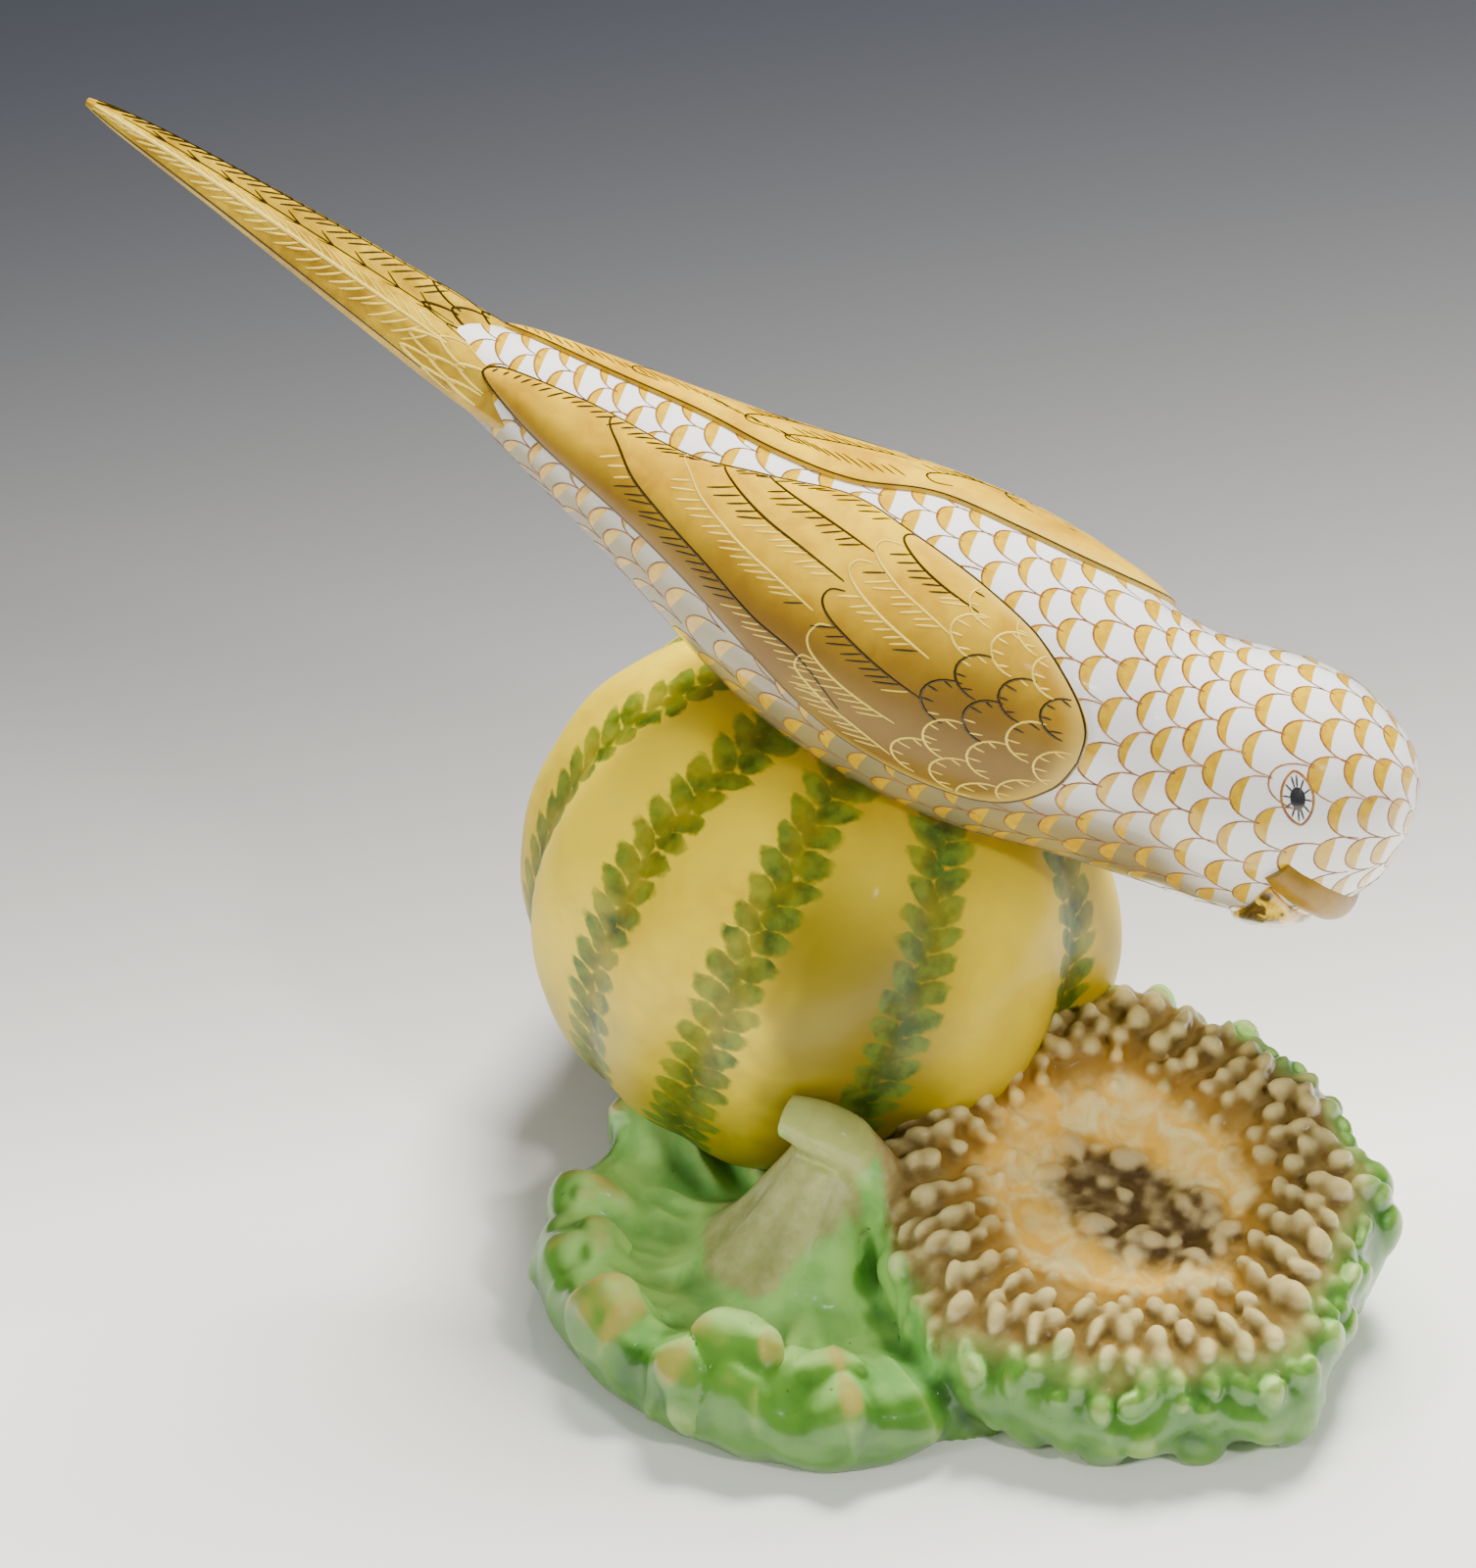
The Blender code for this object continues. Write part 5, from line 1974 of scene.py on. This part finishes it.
def tail_strokes(strokes, rng):
    """The tail's quills, barbs and the scallops at its root."""
    last = len(TAIL) - 1

    def put(at, degrees):
        at = np.asarray(at, float)
        angle = np.radians(np.asarray(degrees, float))
        point, normal = surface(tail_shape, at, angle)
        normal = outward(TAIL, at, point, normal)
        return point + normal * STROKE_LIFT, normal

    def run_to_at(run):
        fine = np.linspace(0, last, 400)
        row = spline(TAIL, fine)
        length = summed(np.hypot(np.diff(row[:, 0]), np.diff(row[:, 1])))
        return np.interp(run, length, fine)

    runs = np.linspace(1.5, 66.0, 110)
    at = run_to_at(runs)
    # The near side's quill and barbs are painted as bright reflection, the far side's and the other lines as
    # dark reflection.
    for side, tone in ((1, strokes.bright), (-1, strokes.dark)):
        points, normals = put(at, np.full(len(at), side * TAIL_QUILL))
        tone.add(points, normals, GOLD_HALF * (1.9 if side > 0 else 1.0))
        points, normals = put(at, np.full(len(at), side * 92.0))
        strokes.dark.add(points, normals, GOLD_HALF * 0.8)
        for run in np.arange(5.0, 65.0, 2.0):
            share = np.linspace(0.0, 1.0, 6)
            back = run_to_at(run - share * 3.4 + rng.uniform(-0.2, 0.2))
            points, normals = put(back, side * (TAIL_QUILL + 2 + share * rng.uniform(18, 32)))
            tone.add(points, normals, GOLD_HALF * 0.8)
            points, normals = put(back, side * (TAIL_QUILL - 2 - share * rng.uniform(10, 16)))
            tone.add(points, normals, GOLD_HALF * 0.8)
    points, normals = put(at[8:], np.full(len(at) - 8, -4.0))
    strokes.dark.add(points, normals, GOLD_HALF * 0.7)
    for run in np.arange(14.0, 64.0, 6.0):
        for side in (1, -1):
            share = np.linspace(0.0, 1.0, 5)
            back = run_to_at(run - share * 3.0)
            points, normals = put(back, side * share * 12.0 - 4.0)
            strokes.dark.add(points, normals, GOLD_HALF * 0.6)
    for row, run in enumerate((60.0, 64.5, 69.0)):
        for column in range(7):
            middle = -84 + column * 26 + (row % 2) * 13
            tau = np.linspace(-1, 1, 13)
            back = run_to_at(run + np.abs(tau) ** 1.3 * 6.0)
            points, normals = put(back, middle + np.sin(tau * math.pi / 2) * 11)
            # Scallops on the near side are painted as bright reflection, the rest as dark reflection.
            tone = strokes.bright if middle > 8 else strokes.dark
            tone.add(points, normals, GOLD_HALF * 1.1)


# The scene


def floor_piece():
    """A pale sweep that darkens to blue grey behind the figurine and is brighter to the right: painted
    fall-off of the studio's light.
    """
    paint = Paint("studio_paper")
    split = paint.node("ShaderNodeSeparateXYZ", None, {0: paint.place})
    turn = math.radians(AZIMUTH)
    x = Signal(paint, split.outputs[0])
    y = Signal(paint, split.outputs[1])
    depth = y * math.cos(turn) - x * math.sin(turn)
    across = x * math.cos(turn) + y * math.sin(turn)
    depth = depth - across * FLOOR_TILT
    # Painted fall-off of light with distance, brighter towards the right.
    fade = paint.math("POWER", math.e, (depth + FLOOR_NEAR) / -FLOOR_FALL).clip()
    colour = paint.mix(fade, rgb(25, 28, 37), rgb(255, 252, 242))
    paint.set(paint.shader.inputs["Base Color"], colour)
    paint.set(paint.shader.inputs["Roughness"], 0.6)
    size = FLOOR_HALF
    corners = [(-size, -size, 0), (size, -size, 0), (size, size, 0), (-size, size, 0)]
    piece = write_mesh("floor", corners, [(0, 1, 2, 3)], paint.material, smooth=False)


def light(name, place, aim, size, power, mirrored):
    """An area lamp that faces its aim."""
    data = bpy.data.lights.new(name, "AREA")
    data.shape = "RECTANGLE"
    data.size = size[0] * MM
    data.size_y = size[1] * MM
    data.energy = power
    lamp = add_object(name, data)
    lamp.location = Vector(place) * MM
    towards = Vector(aim) - Vector(place)
    lamp.rotation_euler = towards.to_track_quat("-Z", "Y").to_euler()
    lamp.visible_glossy = mirrored


def camera():
    """The photograph's camera."""
    azimuth = math.radians(AZIMUTH)
    elevation = math.radians(ELEVATION)
    back = Vector(
        (
            math.sin(azimuth) * math.cos(elevation),
            -math.cos(azimuth) * math.cos(elevation),
            math.sin(elevation),
        )
    )
    data = bpy.data.cameras.new("camera")
    data.sensor_fit = "VERTICAL"
    data.sensor_height = 36.0
    data.lens = LENS
    view = add_object("camera", data)
    view.location = (Vector(TARGET) + back * DISTANCE) * MM
    view.rotation_euler = (-back).to_track_quat("-Z", "Y").to_euler()
    bpy.context.scene.camera = view


def studio():
    """Floor, lamps, sky and camera."""
    floor_piece()
    for lamp in LAMPS:
        light(*lamp)
    world = bpy.context.scene.world or bpy.data.worlds.new("world")
    bpy.context.scene.world = world
    world.use_nodes = True
    background = world.node_tree.nodes["Background"]
    background.inputs["Color"].default_value = SKY
    background.inputs["Strength"].default_value = SKY_STRENGTH
    world.cycles_visibility.glossy = False
    camera()


def settle(piece):
    """Ties a piece to the figurine's one body and hides the figurine's CAD node."""
    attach(piece, "root")
    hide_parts(NODE)


def main():
    white = porcelain_white()
    amber = amber_wash("wing_amber", rgb(242, 194, 22), rgb(196, 142, 8))
    tail_amber = amber_wash("tail_amber", rgb(216, 176, 30), rgb(150, 110, 12), 2.4)
    cere_amber = amber_wash("cere_amber", rgb(168, 126, 0), rgb(124, 90, 0), 1.6)
    tan = line_glaze("tan_line")
    dab = line_glaze("amber_dab")
    bright = line_glaze("gold_painted_lit")
    shade = line_glaze("gold_painted_shade")
    beak_gold = burnished()
    black = line_glaze("ink")

    near = Wing(WING_NEAR, 1.0)
    far = Wing(WING_FAR, -1.0)
    pieces = [
        bird_body(white),
        wing_piece("wing_near", near, amber),
        wing_piece("wing_far", far, amber),
        tail_piece(tail_amber),
        cere_piece(cere_amber),
        beak_piece(beak_gold),
        gourd_piece(gourd_glaze()),
        heads_piece(heads_glaze()),
    ]

    brush = stroke_tree()
    rng = np.random.default_rng(11)
    scale_lines = Strokes()
    eye_ink = Strokes()
    dabs = {"points": [], "faces": []}
    pupil = {"points": [], "faces": []}
    scale_coat(scale_lines, dabs)
    for side in (1, -1):
        eye_painting({"tan": scale_lines, "ink": eye_ink}, pupil, side)
    wing_gold = GoldStrokes()
    wing_strokes(near, wing_gold, rng)
    wing_strokes(far, wing_gold, rng)
    tail_gold = GoldStrokes()
    tail_strokes(tail_gold, rng)
    pieces += [
        paint_strokes("scale_lines", scale_lines, brush, tan),
        write_mesh("scale_dabs", dabs["points"], dabs["faces"], dab),
        paint_strokes("eye_lines", eye_ink, brush, black),
        write_mesh("pupil", pupil["points"], pupil["faces"], black),
        paint_strokes("wing_gold", wing_gold.bright, brush, bright, GOLD_CROWN),
        paint_strokes("wing_gold_dark", wing_gold.dark, brush, shade, GOLD_CROWN),
        paint_strokes("tail_gold", tail_gold.bright, brush, bright, GOLD_CROWN),
        paint_strokes("tail_gold_dark", tail_gold.dark, brush, shade, GOLD_CROWN),
    ]
    for piece in pieces:
        settle(piece)
    studio()


main()
